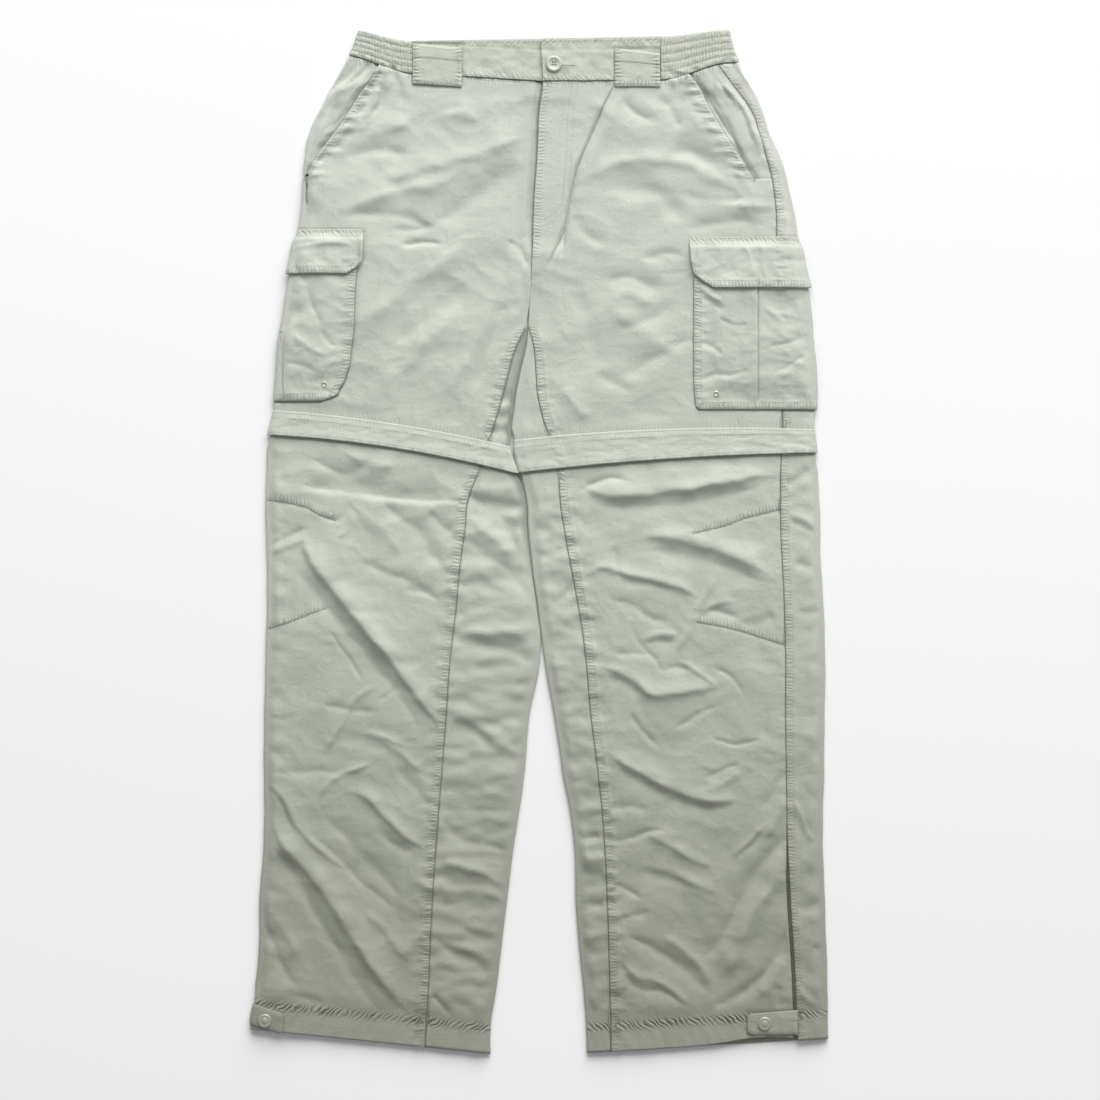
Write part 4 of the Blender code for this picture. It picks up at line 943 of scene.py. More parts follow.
def makeFadeAndLightGroup():
    # the cloth is paler towards the waist: partly real fading from washing and wear, partly painted
    # light, the top lit more strongly than the hems
    tree, inn, out = newGroup("fadeAndPaintedLight", {
        "Deep colour": (0.4, 0.44, 0.36, 1.0), "Pale colour": (0.6, 0.64, 0.57, 1.0),
        "Low": -0.5, "High": 0.35, "Mottle": 0.5, "Mottle share": 0.25, "Shade": 0.0,
        "Shade colour": (0.10, 0.11, 0.08, 1.0)}, ("Colour",))
    plus, minus, times = arithmetic(tree)[:3]
    up = addNode(tree, "ShaderNodeMapRange", {"Value": objectPlace(tree)[1][1], "From Min": inn["Low"],
                                              "From Max": inn["High"]}, interpolation_type="SMOOTHSTEP")
    spread = times(minus(inn["Mottle"], 0.5), inn["Mottle share"])
    fadedAndLit = mixColours(tree, plus(up.outputs["Result"], spread), inn["Deep colour"], inn["Pale colour"])
    # painted shade: the seams' Shade pulls the colour towards the dark Shade colour
    feed(tree, out["Colour"], mixColours(tree, inn["Shade"], fadedAndLit, inn["Shade colour"]))
    return tree


weaveGroup = makeWeaveGroup()
seamGroup = makeSeamGroup()
fadeAndLightGroup = makeFadeAndLightGroup()
# deep to pale from low to high up the garment: partly painted light, brighter towards the waist
clothFacts = {
    "deep": (0.520, 0.550, 0.480), "pale": (0.550, 0.580, 0.515), "low": 0.05, "high": 0.45,
    "roughness": 0.62, "gloss": 0.35, "sheen": 0.12, "crumple": 1.5, "bump": 0.75,
}


def plainMaterial(name, colour, roughness, metallic=0.0):
    material = bpy.data.materials.new(name)
    material.use_nodes = True
    shader = material.node_tree.nodes["Principled BSDF"]
    shader.inputs["Base Color"].default_value = (*colour, 1.0)
    shader.inputs["Roughness"].default_value = roughness
    shader.inputs["Metallic"].default_value = metallic
    return material


def clothMaterial(name, **changes):
    facts = dict(clothFacts, **changes)
    material = plainMaterial(name, facts["pale"], facts["roughness"])
    tree = material.node_tree
    weave = addNode(tree, "ShaderNodeGroup", node_tree=weaveGroup)
    seam = addNode(tree, "ShaderNodeGroup", node_tree=seamGroup)
    fadeAndLight = addNode(tree, "ShaderNodeGroup", node_tree=fadeAndLightGroup)
    bump = addNode(tree, "ShaderNodeBump", {"Strength": facts["bump"], "Distance": 0.001})
    feed(tree, weave.inputs["Crumple share"], facts["crumple"])
    for label, value in (("Deep colour", (*facts["deep"], 1.0)), ("Pale colour", (*facts["pale"], 1.0)),
                         ("Low", facts["low"]), ("High", facts["high"]),
                         ("Mottle", weave.outputs["Mottle"]), ("Shade", seam.outputs["Shade"])):
        feed(tree, fadeAndLight.inputs[label], value)
    heights = mathNode(tree, "ADD", weave.outputs["Height"], seam.outputs["Height"])
    feed(tree, bump.inputs["Height"], heights)
    shader = tree.nodes["Principled BSDF"]
    for label, value in (("Specular IOR Level", facts["gloss"]), ("Sheen Weight", facts["sheen"]),
                         ("Sheen Roughness", 0.6), ("Base Color", fadeAndLight.outputs["Colour"]),
                         ("Normal", bump.outputs["Normal"])):
        feed(tree, shader.inputs[label], value)
    return material


upperCloth = clothMaterial("upperCloth")
# the lower legs darken strongly towards the hems: partly their own colour, partly painted light falling
# off down the legs
lowerCloth = clothMaterial("lowerCloth", deep=(0.300, 0.315, 0.252), pale=(0.520, 0.550, 0.478),
                           low=-0.56, high=0.12)
bandCloth = clothMaterial("bandCloth", deep=(0.5, 0.53, 0.45), pale=(0.53, 0.56, 0.485))
tabCloth = clothMaterial("tabCloth", deep=(0.265, 0.28, 0.222), pale=(0.34, 0.36, 0.29),
                         low=-0.56, high=0.12)
tapeCloth = clothMaterial("tapeCloth", deep=(0.22, 0.24, 0.19), pale=(0.27, 0.29, 0.23), crumple=0.3)
# the thread is darker than the cloth: painted shade of the stitches sunk into it
threadFinish = plainMaterial("sewingThread", (0.30, 0.33, 0.26), 0.6)
buttonFinish = plainMaterial("buttonPlastic", (0.52, 0.55, 0.45), 0.38)
metalFinish = plainMaterial("paintedMetal", (0.34, 0.36, 0.29), 0.42, 0.25)
ringFinish = plainMaterial("eyeletMetal", (0.52, 0.53, 0.46), 0.35, 0.6)
print("materials made")

visible = bpy.data.collections.new("trousersCloth")
bpy.context.scene.collection.children.link(visible)


def ridePiece(thing, slot, *nodes):
    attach(thing, "root")
    if nodes:
        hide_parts(*nodes)


def meshPiece(name, mesh, material):
    mesh.materials.clear()
    mesh.materials.append(material)
    thing = bpy.data.objects.new(name, mesh)
    visible.objects.link(thing)
    return thing


def within(on, gap):
    # the distance from a seam, only where that seam runs
    return np.where(on, gap, far)


def nearestSeam(*lines):
    # for each place the nearest seam: millimetres away from it and along it, and its strength
    away = np.full(np.shape(lines[0][0]), far)
    along = np.zeros(np.shape(away))
    strength = np.zeros(np.shape(away))
    for gap, run, *share in lines:
        gap = np.where(gap < -2.0, far, gap)
        closer = np.abs(gap) < np.abs(away)
        away = np.where(closer, gap, away)
        along = np.where(closer, run, along)
        strength = np.where(closer, share[0] if share else 1.0, strength)
    return away, along, strength


def panelSeams(side):
    leg = legs[side]
    sign = leg["sign"]

    def seams(x, y):
        inseam = (sectionAt(y, side + "Inseam") - x) * sign
        lines = [(within(y <= garment["crotch"] - 4.0, inseam), y)]
        if side == "right":
            lines += [(within(y >= 300.0, x - sectionAt(y, "rightInner")), y),
                      (x - sectionAt(y, "rightOutseam"), y),
                      # a painted shade line along the fold beside the fly
                      (within((y > 300.0) & (y < 487.0), np.abs(x - foldX(y))), y, 0.0)]
        else:
            # painted shade in the gap under the placket's edge, and in the one between the legs
            placket = np.abs(sectionAt(y, "rightInner") - x)
            placket = placket * (1.0 - 0.65 * smooth((y - 380.0) / 80.0))
            gap = np.abs(sectionAt(y, "leftInner") - x) * (0.10 + 0.5 * smooth((40.0 - y) / 120.0))
            onStrip = (x >= sectionAt(y, "leftInseam") + 1.0) & (y < 228.0) & (y > -90.0)
            lines += [(within(y > 310.0, placket), y, 0.0), (within(onStrip, gap), y, 0.0)]
        opening = (x - openingX(side, y)) * sign * garment["slant"]
        hem = y - rowLine(side, leg["hem"] + garment["hemWidth"], x)
        lines += [(within((y > 384.0) & (y < 500.0), opening), y),
                  (waistLine(side, x) - y + 1.5, x),
                  (np.abs(y - rowLine(side, leg["flapTop"] + 2.0, x)) + 1.5, x, 0.35),
                  (4.0 + 0.85 * np.abs(hem), 0.62 * (x - sign * hem), 3.4)]
        for numbers in darts[side]:
            dartX, dartY = dartLine(numbers)
            inside = (x > dartX[0]) & (x < dartX[-1])
            lines.append((within(inside, y - np.interp(x, dartX, dartY)), x))
        return nearestSeam(*lines)
    return seams


def clothPiece(name, grid, material, closed=False, flip=False, skip=(), shell=garment["shell"],
               seams=None):
    # a grid of points becomes cloth with a thickness
    rows, cols = grid.shape[:2]
    index = np.arange(rows * cols).reshape(rows, cols)
    if closed:
        index = np.concatenate([index, index[:, :1]], axis=1)
    keep = np.array([i for i in range(rows - 1) if i not in skip])
    corners = [index[keep, :-1], index[keep + 1, :-1], index[keep + 1, 1:], index[keep, 1:]]
    if flip:
        corners.reverse()
    faces = np.stack([part.ravel() for part in corners], axis=1)
    mesh = bpy.data.meshes.new(name)
    mesh.from_pydata(toWorld(grid.reshape(-1, 3)).tolist(), [], faces.tolist())
    shape = bmesh.new()
    shape.from_mesh(mesh)
    bmesh.ops.remove_doubles(shape, verts=shape.verts, dist=0.00003)
    bmesh.ops.dissolve_degenerate(shape, edges=shape.edges, dist=0.00002)
    bmesh.ops.delete(shape, geom=[v for v in shape.verts if not v.link_faces], context="VERTS")
    shape.to_mesh(mesh)
    shape.free()
    mesh.shade_smooth()
    spots = np.array([vertex.co for vertex in mesh.vertices])
    x = spots[:, 0] / mm + garment["originX"]
    y = spots[:, 1] / mm + garment["originY"]
    values = seams(x, y) if seams else (0.0 * x + far, 0.0 * x, 0.0 * x)
    for label, numbers in zip(seamLabels, values):
        attribute = mesh.attributes.new(label, "FLOAT", "POINT")
        attribute.data.foreach_set("value", numbers.astype(np.float32))
    thing = meshPiece(name, mesh, material)
    wall = thing.modifiers.new("clothThickness", "SOLIDIFY")
    wall.thickness = shell * mm
    wall.offset = 0.0
    return thing


def flatArea(grid, closed=False):
    # area of one side of a grid, in square metres
    grid = np.concatenate([grid, grid[:, :1]], axis=1) if closed else grid
    a = grid[1:, :-1] - grid[:-1, :-1]
    b = grid[:-1, 1:] - grid[:-1, :-1]
    return float(np.linalg.norm(np.cross(a, b), axis=2).sum()) * mm * mm


slotCloth = {"upper_cloth": upperCloth, "lower_cloth": lowerCloth, "waist_cloth": bandCloth,
             "zip_tape": tapeCloth}


def sewPiece(node, slot, grid, flat, restsOn, name=None, material=None, closed=False, **how):
    # a piece of cloth in the place of its solid; its name is the node's in camel case
    words = node.split("_")
    name = name or words[0] + "".join(word.capitalize() for word in words[1:])
    thing = clothPiece(name, grid, material or slotCloth[slot], closed=closed, **how)
    ridePiece(thing, slot, node)
    area = flatArea(grid, closed)


def sewPanel(kind, side, slot, grid, flat, restsOn, **how):
    sewPiece(kind + side, slot, grid, flat, restsOn, flip=side == "right", seams=panelSeams(side),
             **how)


# panels of the shorts

shortsFacts = {"rowPitch": 1.9, "backPitch": 3.4, "facingPitch": 2.2, "underlap": 12.0,
               "flat": {"left": (0.300, 0.410), "right": (0.285, 0.400)},
               "backFlat": {"left": (0.340, 0.425), "right": (0.395, 0.420)},
               "facingFlat": (0.095, 0.170)}


def wrapDepth(side, y):
    below = section["y"] <= garment["crotch"]
    depth = np.abs(section[side + "Inner"] - section[side + "Inseam"])[below]
    deep = np.clip(curveAt(y, section["y"][below], depth), 0.0, None)
    return np.where(y < garment["crotch"], deep, 0.0)


def slitHalf(side, y):
    # half of the gap at the outseam, which the right ankle's slit widens
    if side == "left":
        return halfGap
    return halfGap + 2.0 * smooth((-300.0 - y) / 75.0)


def outseamWay(side, ring, y):
    if side == "left":
        return -18.0
    return wayAt(side, ring, sectionAt(y, "rightOutseam"))


def foldX(y):
    # the long fold beside the fly
    line = np.array(creases["tucksRight"][0][2:]).reshape(-1, 2)[::-1]
    return np.interp(y, line[:, 1], line[:, 0])


def frontKnots(side, above=None, underlap=0.0, slit=False):
    def knots(ring, y, station):
        low = outseamWay(side, ring, y) + (slitHalf(side, y) if slit else halfGap)
        if above is not None:
            low = np.where(above[:, None], wayAt(side, ring, openingX(side, y)), low)
        high = ring["length"] - wrapDepth(side, y) - halfGap
        high = high + underlap * smooth((y - 322.0) / 6.0)
        marks = [low, -quarter, quarter, 16.0]
        if above is not None:
            notch = notchX(side)
            marks += [wayAt(side, ring, notch), wayAt(side, ring, notch + 22.0 * legs[side]["sign"])]
            if side == "right":
                middle = np.minimum(wayAt(side, ring, foldX(y)), high - 36.0)
                marks += [middle - 6.0, middle + 5.0]
        return clampAll(marks + [high - 30.0, high - 14.0, high], low, high)
    return knots


def backKnots(side, slit=False):
    def knots(ring, y, station):
        half = ring["length"]
        whole = 2.0 * half
        low = half - wrapDepth(side, y) + halfGap
        high = whole + outseamWay(side, ring, y) - (slitHalf(side, y) if slit else halfGap)
        marks = [low, np.minimum(low + 12.0, half - quarter), half - quarter, half + quarter,
                 whole - quarter, whole + quarter, np.maximum(high - 14.0, whole + quarter), high]
        return clampAll(marks, low, high)
    return knots


def makeShorts(side):
    leg, facts = legs[side], shortsFacts
    right = side == "right"
    zipTop = leg["flapTop"] - garment["zipInset"] + halfGap
    upper = spaced(waistSeam - halfGap, leg["notch"], facts["rowPitch"])
    stations = upper + spaced(leg["notch"], zipTop, facts["rowPitch"])
    above = np.arange(len(stations)) < len(upper)

    def outward(x, y, u):
        raised = bandRaise(side, x, y) * smooth((u - quarter) / 8.0) + panelDitches(side, x, y)
        away = x - sectionAt(y, "rightInner")
        if right:
            lip = 0.6 * bell(away, 5.0) * smooth((y - 306.0) / 12.0)
            return np.maximum(raised, flyRaise(x, y) + lip + ditch(waistLine(side, x) - y, 1.1, 3.0))
        return raised - 2.5 * smooth((away + 9.0) / 5.0) * smooth((y - 300.0) / 60.0)

    knots = frontKnots(side, above, 0.0 if right else facts["underlap"])
    counts = (4, 4, 6, 8, 14, 34, 12, 14, 10, 10) if right else (4, 4, 6, 2, 14, 66, 10, 9)
    grid = placeRows(side, stations, knots, counts, outward, True)
    sewPanel("front_panel_", side, "upper_cloth", grid, facts["flat"][side],
             "back_panel_" + side, skip={len(upper) - 1})
    stations = spaced(waistSeam - halfGap, zipTop, facts["backPitch"])
    grid = placeRows(side, stations, backKnots(side), (6, 8, 5, 34, 5, 12, 6), topDitches(side))
    sewPanel("back_panel_", side, "upper_cloth", grid, facts["backFlat"][side], "floor")


def makeFacing(side):
    sign = legs[side]["sign"]
    stations = spaced(waistSeam - halfGap, legs[side]["notch"] - 8.0, shortsFacts["facingPitch"])

    def knots(ring, y, station):
        low = outseamWay(side, ring, y) + halfGap
        high = wayAt(side, ring, openingX(side, y)) + 8.0
        return clampAll([low, -quarter, quarter, high], low, high)

    def outward(x, y, u):
        away = (openingX(side, y) - x) * sign
        return ditch(away, 2.2, 9.0) + ditch(waistLine(side, x) - y, 1.1, 3.0)

    grid = placeRows(side, stations, knots, (6, 4, 44), outward)
    sewPanel("pocket_facing_", side, "upper_cloth", grid, shortsFacts["facingFlat"],
             "back_panel_" + side)


# lower legs

lowerFacts = {"rowPitch": 1.9, "backPitch": 3.2,
              "flat": {"left": (0.250, 0.660), "right": (0.255, 0.650)},
              "backFlat": {"left": (0.350, 0.660), "right": (0.345, 0.650)},
              "hemRise": {"x": 240.0, "half": 44.0, "height": 6.0, "reach": 30.0}}


def makeLowerLeg(side):
    leg, facts = legs[side], lowerFacts
    zipLow = leg["flapFree"] + garment["zipInset"] - halfGap
    stations = spaced(zipLow, leg["hem"], facts["rowPitch"])
    grid = placeRows(side, stations, frontKnots(side, slit=True), (4, 4, 8, 70, 10, 9),
                     lambda x, y, u: panelDitches(side, x, y))
    if side == "right":
        rise = facts["hemRise"]
        near = np.clip(1.0 - (grid[:, :, 1] - grid[-1:, :, 1]) / rise["reach"], 0.0, 1.0)
        grid[:, :, 1] += rise["height"] * bell(grid[:, :, 0] - rise["x"], rise["half"]) * near
    sewPanel("lower_front_", side, "lower_cloth", grid, facts["flat"][side],
             "lower_back_" + side)
    stations = spaced(zipLow, leg["hem"], facts["backPitch"])
    counts = (8, 20, 5, 26, 5, 4, 4) if side == "left" else (8, 14, 5, 26, 5, 14, 8)
    grid = placeRows(side, stations, backKnots(side, slit=True), counts, topDitches(side))
    sewPanel("lower_back_", side, "lower_cloth", grid, facts["backFlat"][side], "floor")


# knee zip tape and the storm flap over it

kneeFacts = {"columns": 150, "rowPitch": 1.6, "wave": 0.8, "tapeColumns": 60, "tapePitch": 4.0,
             "flat": {"left": (0.600, 0.036), "right": (0.600, 0.040)}, "tapeFlat": (0.600, 0.030)}


def kneeRing(side, stations, outward, columns):
    def knots(ring, y, station):
        half = ring["length"]
        return [0.0, quarter, half - quarter, half + quarter, 2.0 * half - quarter, 2.0 * half]

    return placeRows(side, stations, knots, (3, columns, 6, columns // 2, 3), outward)[:, :-1]


def kneeOut(side, row, x, y, u):
    # sewn down at the top, rising to the free edge, which is open and a little wavy
    top, free = legs[side]["flapTop"], legs[side]["flapFree"]
    sewn = smooth((top - row) / 9.0)
    climb = np.clip((top - row) / (top - free), 0.0, 1.0)
    loose = smooth((free + 14.0 - row) / 14.0)
    wave = kneeFacts["wave"] * (noiseAt(x, y, 24.0, 81) + 0.5 * noiseAt(x, y, 9.0, 82))
    step = 0.12 * between(row, top - 9.5, top - 2.0, 2.0)
    length = ringAt(side, y)["length"]
    lift = loose * np.clip(0.9 + wave, 0.1, None) * (u > quarter) * (u < length)
    ripple = 0.5 * noiseAt(x, 3.0 * y, 26.0, 83) + 0.35 * noiseAt(x, 3.0 * y, 11.0, 84)
    out = 0.15 + 0.6 * sewn + 1.9 * climb + lift + step * sewn
    out = out + np.clip(ripple, -0.3, 0.6) * sewn * (1.0 - loose)
    # underneath it stays above the floor
    return np.minimum(out, 1.7 + 8.0 * smooth((length + 2.0 - u) / 10.0))


def makeKnee(side):
    top, free = legs[side]["flapTop"], legs[side]["flapFree"]
    inset = garment["zipInset"] + garment["seamGap"]
    right = side == "right"
    stations = spaced(top - inset, free + inset, kneeFacts["tapePitch"])
    grid = kneeRing(side, stations, 0.0, kneeFacts["tapeColumns"])
    sewPiece("knee_zip_" + side, "zip_tape", grid, kneeFacts["tapeFlat"],
             "lower_back_" + side, name="kneeZipTape" + side.capitalize(), closed=True, flip=right)

    def seams(x, y):
        return nearestSeam((rowLine(side, top, x) - y + 1.0, x, 0.3),
                           (np.abs(rowLine(side, top - 9.0, x) - y) + 0.7, x, 0.2),
                           (y - rowLine(side, free, x) + 3.5, 0.4 * x, 0.5))

    row = np.array(spaced(top, free, kneeFacts["rowPitch"]))[:, None]
    grid = kneeRing(side, row[:, 0], lambda x, y, u: kneeOut(side, row, x, y, u), kneeFacts["columns"])
    sewPiece("knee_flap_" + side, "upper_cloth", grid, kneeFacts["flat"][side],
             "front_panel_" + side, closed=True, flip=right, seams=seams)


# waistband, elastics and belt loops

waistFacts = {"ribs": 5, "ribHeight": 0.9, "gather": 0.45, "underlap": 20.0, "wrap": 40.0,
              "elasticPitch": 1.1, "bandPitch": 1.4, "bandShell": 1.0,
              "elasticFlat": (0.115, 0.048), "flat": {"left": (0.162, 0.048), "right": (0.130, 0.048)},
              "backFlat": (0.350, 0.048), "backLoopFlat": (0.012, 0.052), "backLoopWidth": 12.0}
backLoops = {"belt_loop_back_left": -95.0, "belt_loop_back_centre": 4.0, "belt_loop_back_right": 103.0}
waistHeight = waistTop - waistSeam
frontLoops = {
    "left": {"x": (-134.0, -81.0), "top": (531.0, 526.0), "low": (488.5, 484.5)},
    "right": {"x": (82.0, 130.5), "top": (526.0, 520.0), "low": (485.0, 485.0)},
    "flat": (0.054, 0.044), "shell": 0.9,
}


def ribAway(side, x, y):
    part = (y - waistLine(side, x)) / waistHeight
    rib = (part * waistFacts["ribs"] + 0.5) % 1.0 - 0.5
    return np.abs(rib) * waistHeight / waistFacts["ribs"]


def waistStations(pitch):
    return spaced(waistSeam + halfGap, waistTop, pitch)


def makeWaist(side):
    elasticAt, sign = legs[side]["elastic"], legs[side]["sign"]
    right = side == "right"
    stations = waistStations(waistFacts["elasticPitch"])
    part = (np.array(stations)[:, None] - waistSeam) / waistHeight

    def elasticKnots(ring, y, station):
        low = halfGap - waistFacts["wrap"]
        high = wayAt(side, ring, elasticAt - sign * halfGap)
        return clampAll([low, -quarter, quarter, high], low, high)

    def ribbed(x, y, u):
        # round channels between the stitch rows, gathered across
        rib = np.abs(np.sin(math.pi * waistFacts["ribs"] * part))
        gather = noiseAt(x, 14.0 * part, 5.0, 83) + 0.5 * noiseAt(x, 30.0 * part, 3.4, 84)
        return waistFacts["ribHeight"] * rib ** 0.5 + waistFacts["gather"] * gather * (0.35 + rib)

    grid = placeRows(side, stations, elasticKnots, (20, 4, 52), ribbed)
    sewPiece("waist_elastic_" + side, "waist_cloth", grid, waistFacts["elasticFlat"],
             "waistband_back", flip=not right,
             seams=lambda x, y: nearestSeam((ribAway(side, x, y) + 0.5, 1.15 * x, 0.8)))

    def bandKnots(ring, y, station):
        low = wayAt(side, ring, elasticAt + sign * halfGap)
        return [low, ring["length"] + (0.0 if right else waistFacts["underlap"])]

    def seams(x, y):
        # a painted shade line for the buttonhole's slit
        buttonhole = within((x > 25.0) & (x < 39.0), y - 507.0)
        return nearestSeam((y - waistLine(side, x) + 1.5, 0.7 * (x + 0.8 * y)),
                           (rowLine(side, waistTop, x) - y, 0.7 * (x - 0.8 * y)),
                           (buttonhole, 0.0 * x, 0.0))

    grid = placeRows(side, waistStations(waistFacts["bandPitch"]), bandKnots, (76 if right else 90,),
                     lambda x, y, u: raisedBand(side, x, y), True)
    sewPiece("waistband_front_" + side, "waist_cloth", grid, waistFacts["flat"][side],
             "waistband_back", flip=not right, shell=waistFacts["bandShell"], seams=seams)


def raisedBand(side, x, y):
    # ripples, the crinkled rows beside both edges, and the dip along the upper stitching
    up = y - waistLine(side, x)
    ripple = 0.30 * noiseAt(x, y, 9.0, 85) + 0.35 * noiseAt(x, y, 24.0, 86)
    crinkle = np.sin(fullTurn * (x + 0.8 * y) / 7.5 + 3.0 * noiseAt(x, y, 17.0, 89))
    crinkle = crinkle * np.clip(0.5 + noiseAt(x, y, 20.0, 90), 0.0, 1.2)
    edges = bell(up, 9.0) + bell(up - 42.0, 9.0)
    height = 2.1 * ripple + 0.26 * crinkle * edges + 0.5 * bell(up, 5.0) - 0.35 * bell(up - 33.0, 1.6)
    loop = frontLoops[side]
    height = height + ditch(boxAway(x, y, *loop["x"], 400.0, max(loop["top"])), 0.8, 2.4)
    away = x - sectionAt(y, "rightInner")
    if side == "right":
        return flyRaise(x, y) + height + 0.5 * bell(away, 5.0)
    return height - 1.2 * smooth((away + 8.0) / 6.0)


def undersideRow(places, part):
    row = []
    for x in places:
        side = "left" if x < sectionAt(waistSeam, "leftInner") else "right"
        y = rowLine(side, np.array([waistSeam + part * waistHeight]), np.array([x]))
        row.append((x, float(y[0]), rest + float(liftAt(side, np.array([x]), y)[0])))
    return row


def elasticEnd(side, part):
    def knots(ring, y, station):
        return [-waistFacts["wrap"], 0.0]

    end = placeRows(side, [waistSeam + part * waistHeight], knots, (1,))[0, 0, 0]
    return end + legs[side]["sign"] * 0.5


def makeWaistBack():
    rows = []
    for part in np.linspace(garment["seamGap"] / 90.0, 1.0, 12):
        places = np.linspace(elasticEnd("left", part), elasticEnd("right", part), 80)
        rows.append(undersideRow(places, part))
    grid = np.array(rows)
    grid[:, :, 2] += np.clip(0.35 * noiseAt(grid[:, :, 0], grid[:, :, 1], 14.0, 87), 0.0, None)
    sewPiece("waistband_back", "waist_cloth", grid, waistFacts["backFlat"], "floor")
    for node, x in backLoops.items():
        half = waistFacts["backLoopWidth"] / 2.0
        places = np.linspace(x - half, x + half, 7)
        grid = np.array([undersideRow(places, part) for part in np.linspace(-0.12, 0.97, 16)])
        grid[:, :, 2] = rest + 0.25 * between(np.abs(grid[:, :, 0] - x), 0.0, 3.0, 1.5)
        sewPiece(node, "waist_cloth", grid, waistFacts["backLoopFlat"], "floor")


def loopGrid(side):
    # a wide loop on the waistband, its top folded under and its sides topstitched
    facts = frontLoops[side]
    across, down = np.meshgrid(np.linspace(0.0, 1.0, 54), np.linspace(0.0, 1.0, 46))
    x, top, low = (facts[name][0] + (facts[name][1] - facts[name][0]) * across
                   for name in ("x", "top", "low"))
    y = top + (low - top) * down
    sides = np.minimum(across, 1.0 - across) * 50.0
    edge = np.minimum(sides, np.minimum(down, 1.0 - down) * 42.0)
    folded = 0.55 * smooth((0.31 - down) / 0.03 + 1.0)
    ladder = np.sin(fullTurn * y / 4.2 + 2.5 * noiseAt(x, y, 16.0, 91)) * bell(sides - 3.0, 4.5)
    out = 1.3 + 0.8 * smooth(edge / 3.0) + folded + 0.4 * noiseAt(x, y, 12.0, 88) + 0.28 * ladder
    return onTop(side, x, y, out + (flyRaise(x, y) if side == "right" else 0.0))


def makeFrontLoops():
    for side in ("left", "right"):
        low, high = frontLoops[side]["x"]
        base = min(frontLoops[side]["low"])

        def seams(x, y):
            return nearestSeam((x - low + 0.5, y), (high - x + 0.5, y), (y - base + 1.0, x))

        sewPiece("belt_loop_front_" + side, "waist_cloth", loopGrid(side), frontLoops["flat"],
                 "waistband_front_" + side, shell=frontLoops["shell"], seams=seams)


# side pockets and their flaps

cargoFacts = {
    "left": {"top": 316.0, "bottom": 149.0, "pleat": -272.0, "eyelet": (-228.0, 167.0), "wrap": 62.0,
             "front": ((316, -192), (258, -195), (204, -199), (178, -204), (162, -212), (153, -220),
                       (149, -232)),
             "flapTop": 333.0, "flapBottom": 285.0, "flapWrap": 64.0,
             "flapFront": ((333, -186), (299, -187), (292, -193), (285, -204)),
             "flat": (0.165, 0.180), "flapFlat": (0.175, 0.056),
             "counts": (22, 5, 4, 13, 32, 7), "flapCounts": (24, 5, 40, 7), "seed": 90},
    "right": {"top": 308.0, "bottom": 140.0, "pleat": 234.0, "eyelet": (190.0, 157.0),
              "front": ((308, 166), (250, 166), (190, 166), (156, 167), (147, 168), (143, 169),
                        (140, 172)),
              "flapTop": 325.0, "flapBottom": 270.0,
              "flapFront": ((325, 161), (300, 163), (285, 166), (278, 175), (270, 188)),
              "flat": (0.135, 0.180), "flapFlat": (0.140, 0.056),
              "counts": (2, 26, 13, 32, 7), "flapCounts": (2, 64, 7), "seed": 100},
    "puff": 3.0, "puffEdge": 13.0, "pleatHeight": 1.9, "pleatRun": 16.0, "pleatDrop": 1.2,
    "pitch": 1.7, "flapPitch": 1.3,
}


def pocketFront(side, y):
    return curveAt(y, *edgeTable(cargoFacts[side]["front"]))


def flapFront(side, y):
    return np.interp(y, *edgeTable(cargoFacts[side]["flapFront"]))


def pocketOut(side, x, y, u):
    # height of the pocket's cloth over the panel under it
    facts, sign = cargoFacts[side], legs[side]["sign"]
    inward = (pocketFront(side, y) - x) * sign
    above = y - facts["bottom"]
    puff = smooth((inward - cargoFacts["puffEdge"]) / 20.0) * smooth((u - quarter) / 22.0)
    puff = puff * smooth((above - cargoFacts["puffEdge"]) / 24.0)
    near = (facts["pleat"] - x) * sign
    run = np.where(near < 0.0, -cargoFacts["pleatRun"], cargoFacts["pleatDrop"])
    pleat = np.clip(1.0 - near / run, 0.0, 1.0) * smooth((facts["flapBottom"] + 8.0 - y) / 24.0)
    on = smooth((above - 2.0) / 16.0) * smooth((u - 5.0) / 4.0)
    groove = bell(near - 0.6, 0.9) * smooth((facts["flapBottom"] + 14.0 - y) / 10.0)
    pleat = (pleat - 1.3 * groove) * on
    border = np.minimum(np.abs(inward), above)
    step = 0.3 * between(border, 2.0, 9.0, 1.4)
    ripple = 0.75 * pucker(y, inward - 7.0, 7.0, 11.0, 12) + 0.5 * pucker(x, above - 6.0, 7.5, 9.0, 13)
    soft = 1.2 * smooth(border / 18.0) * crumple(x * 1.3, y * 1.3, facts["seed"])
    soft = soft + 2.0 * creaseHeight(x, y, creases["pocket" + side.capitalize()]) * smooth(border / 8.0)
    height = 1.25 + 0.75 * smooth(border / 4.0) + cargoFacts["puff"] * puff
    height = height + cargoFacts["pleatHeight"] * pleat + step + ripple + soft * (u > quarter)
    return np.clip(height, 0.75, 1.7 + 8.0 * smooth((u + 4.0) / 14.0))


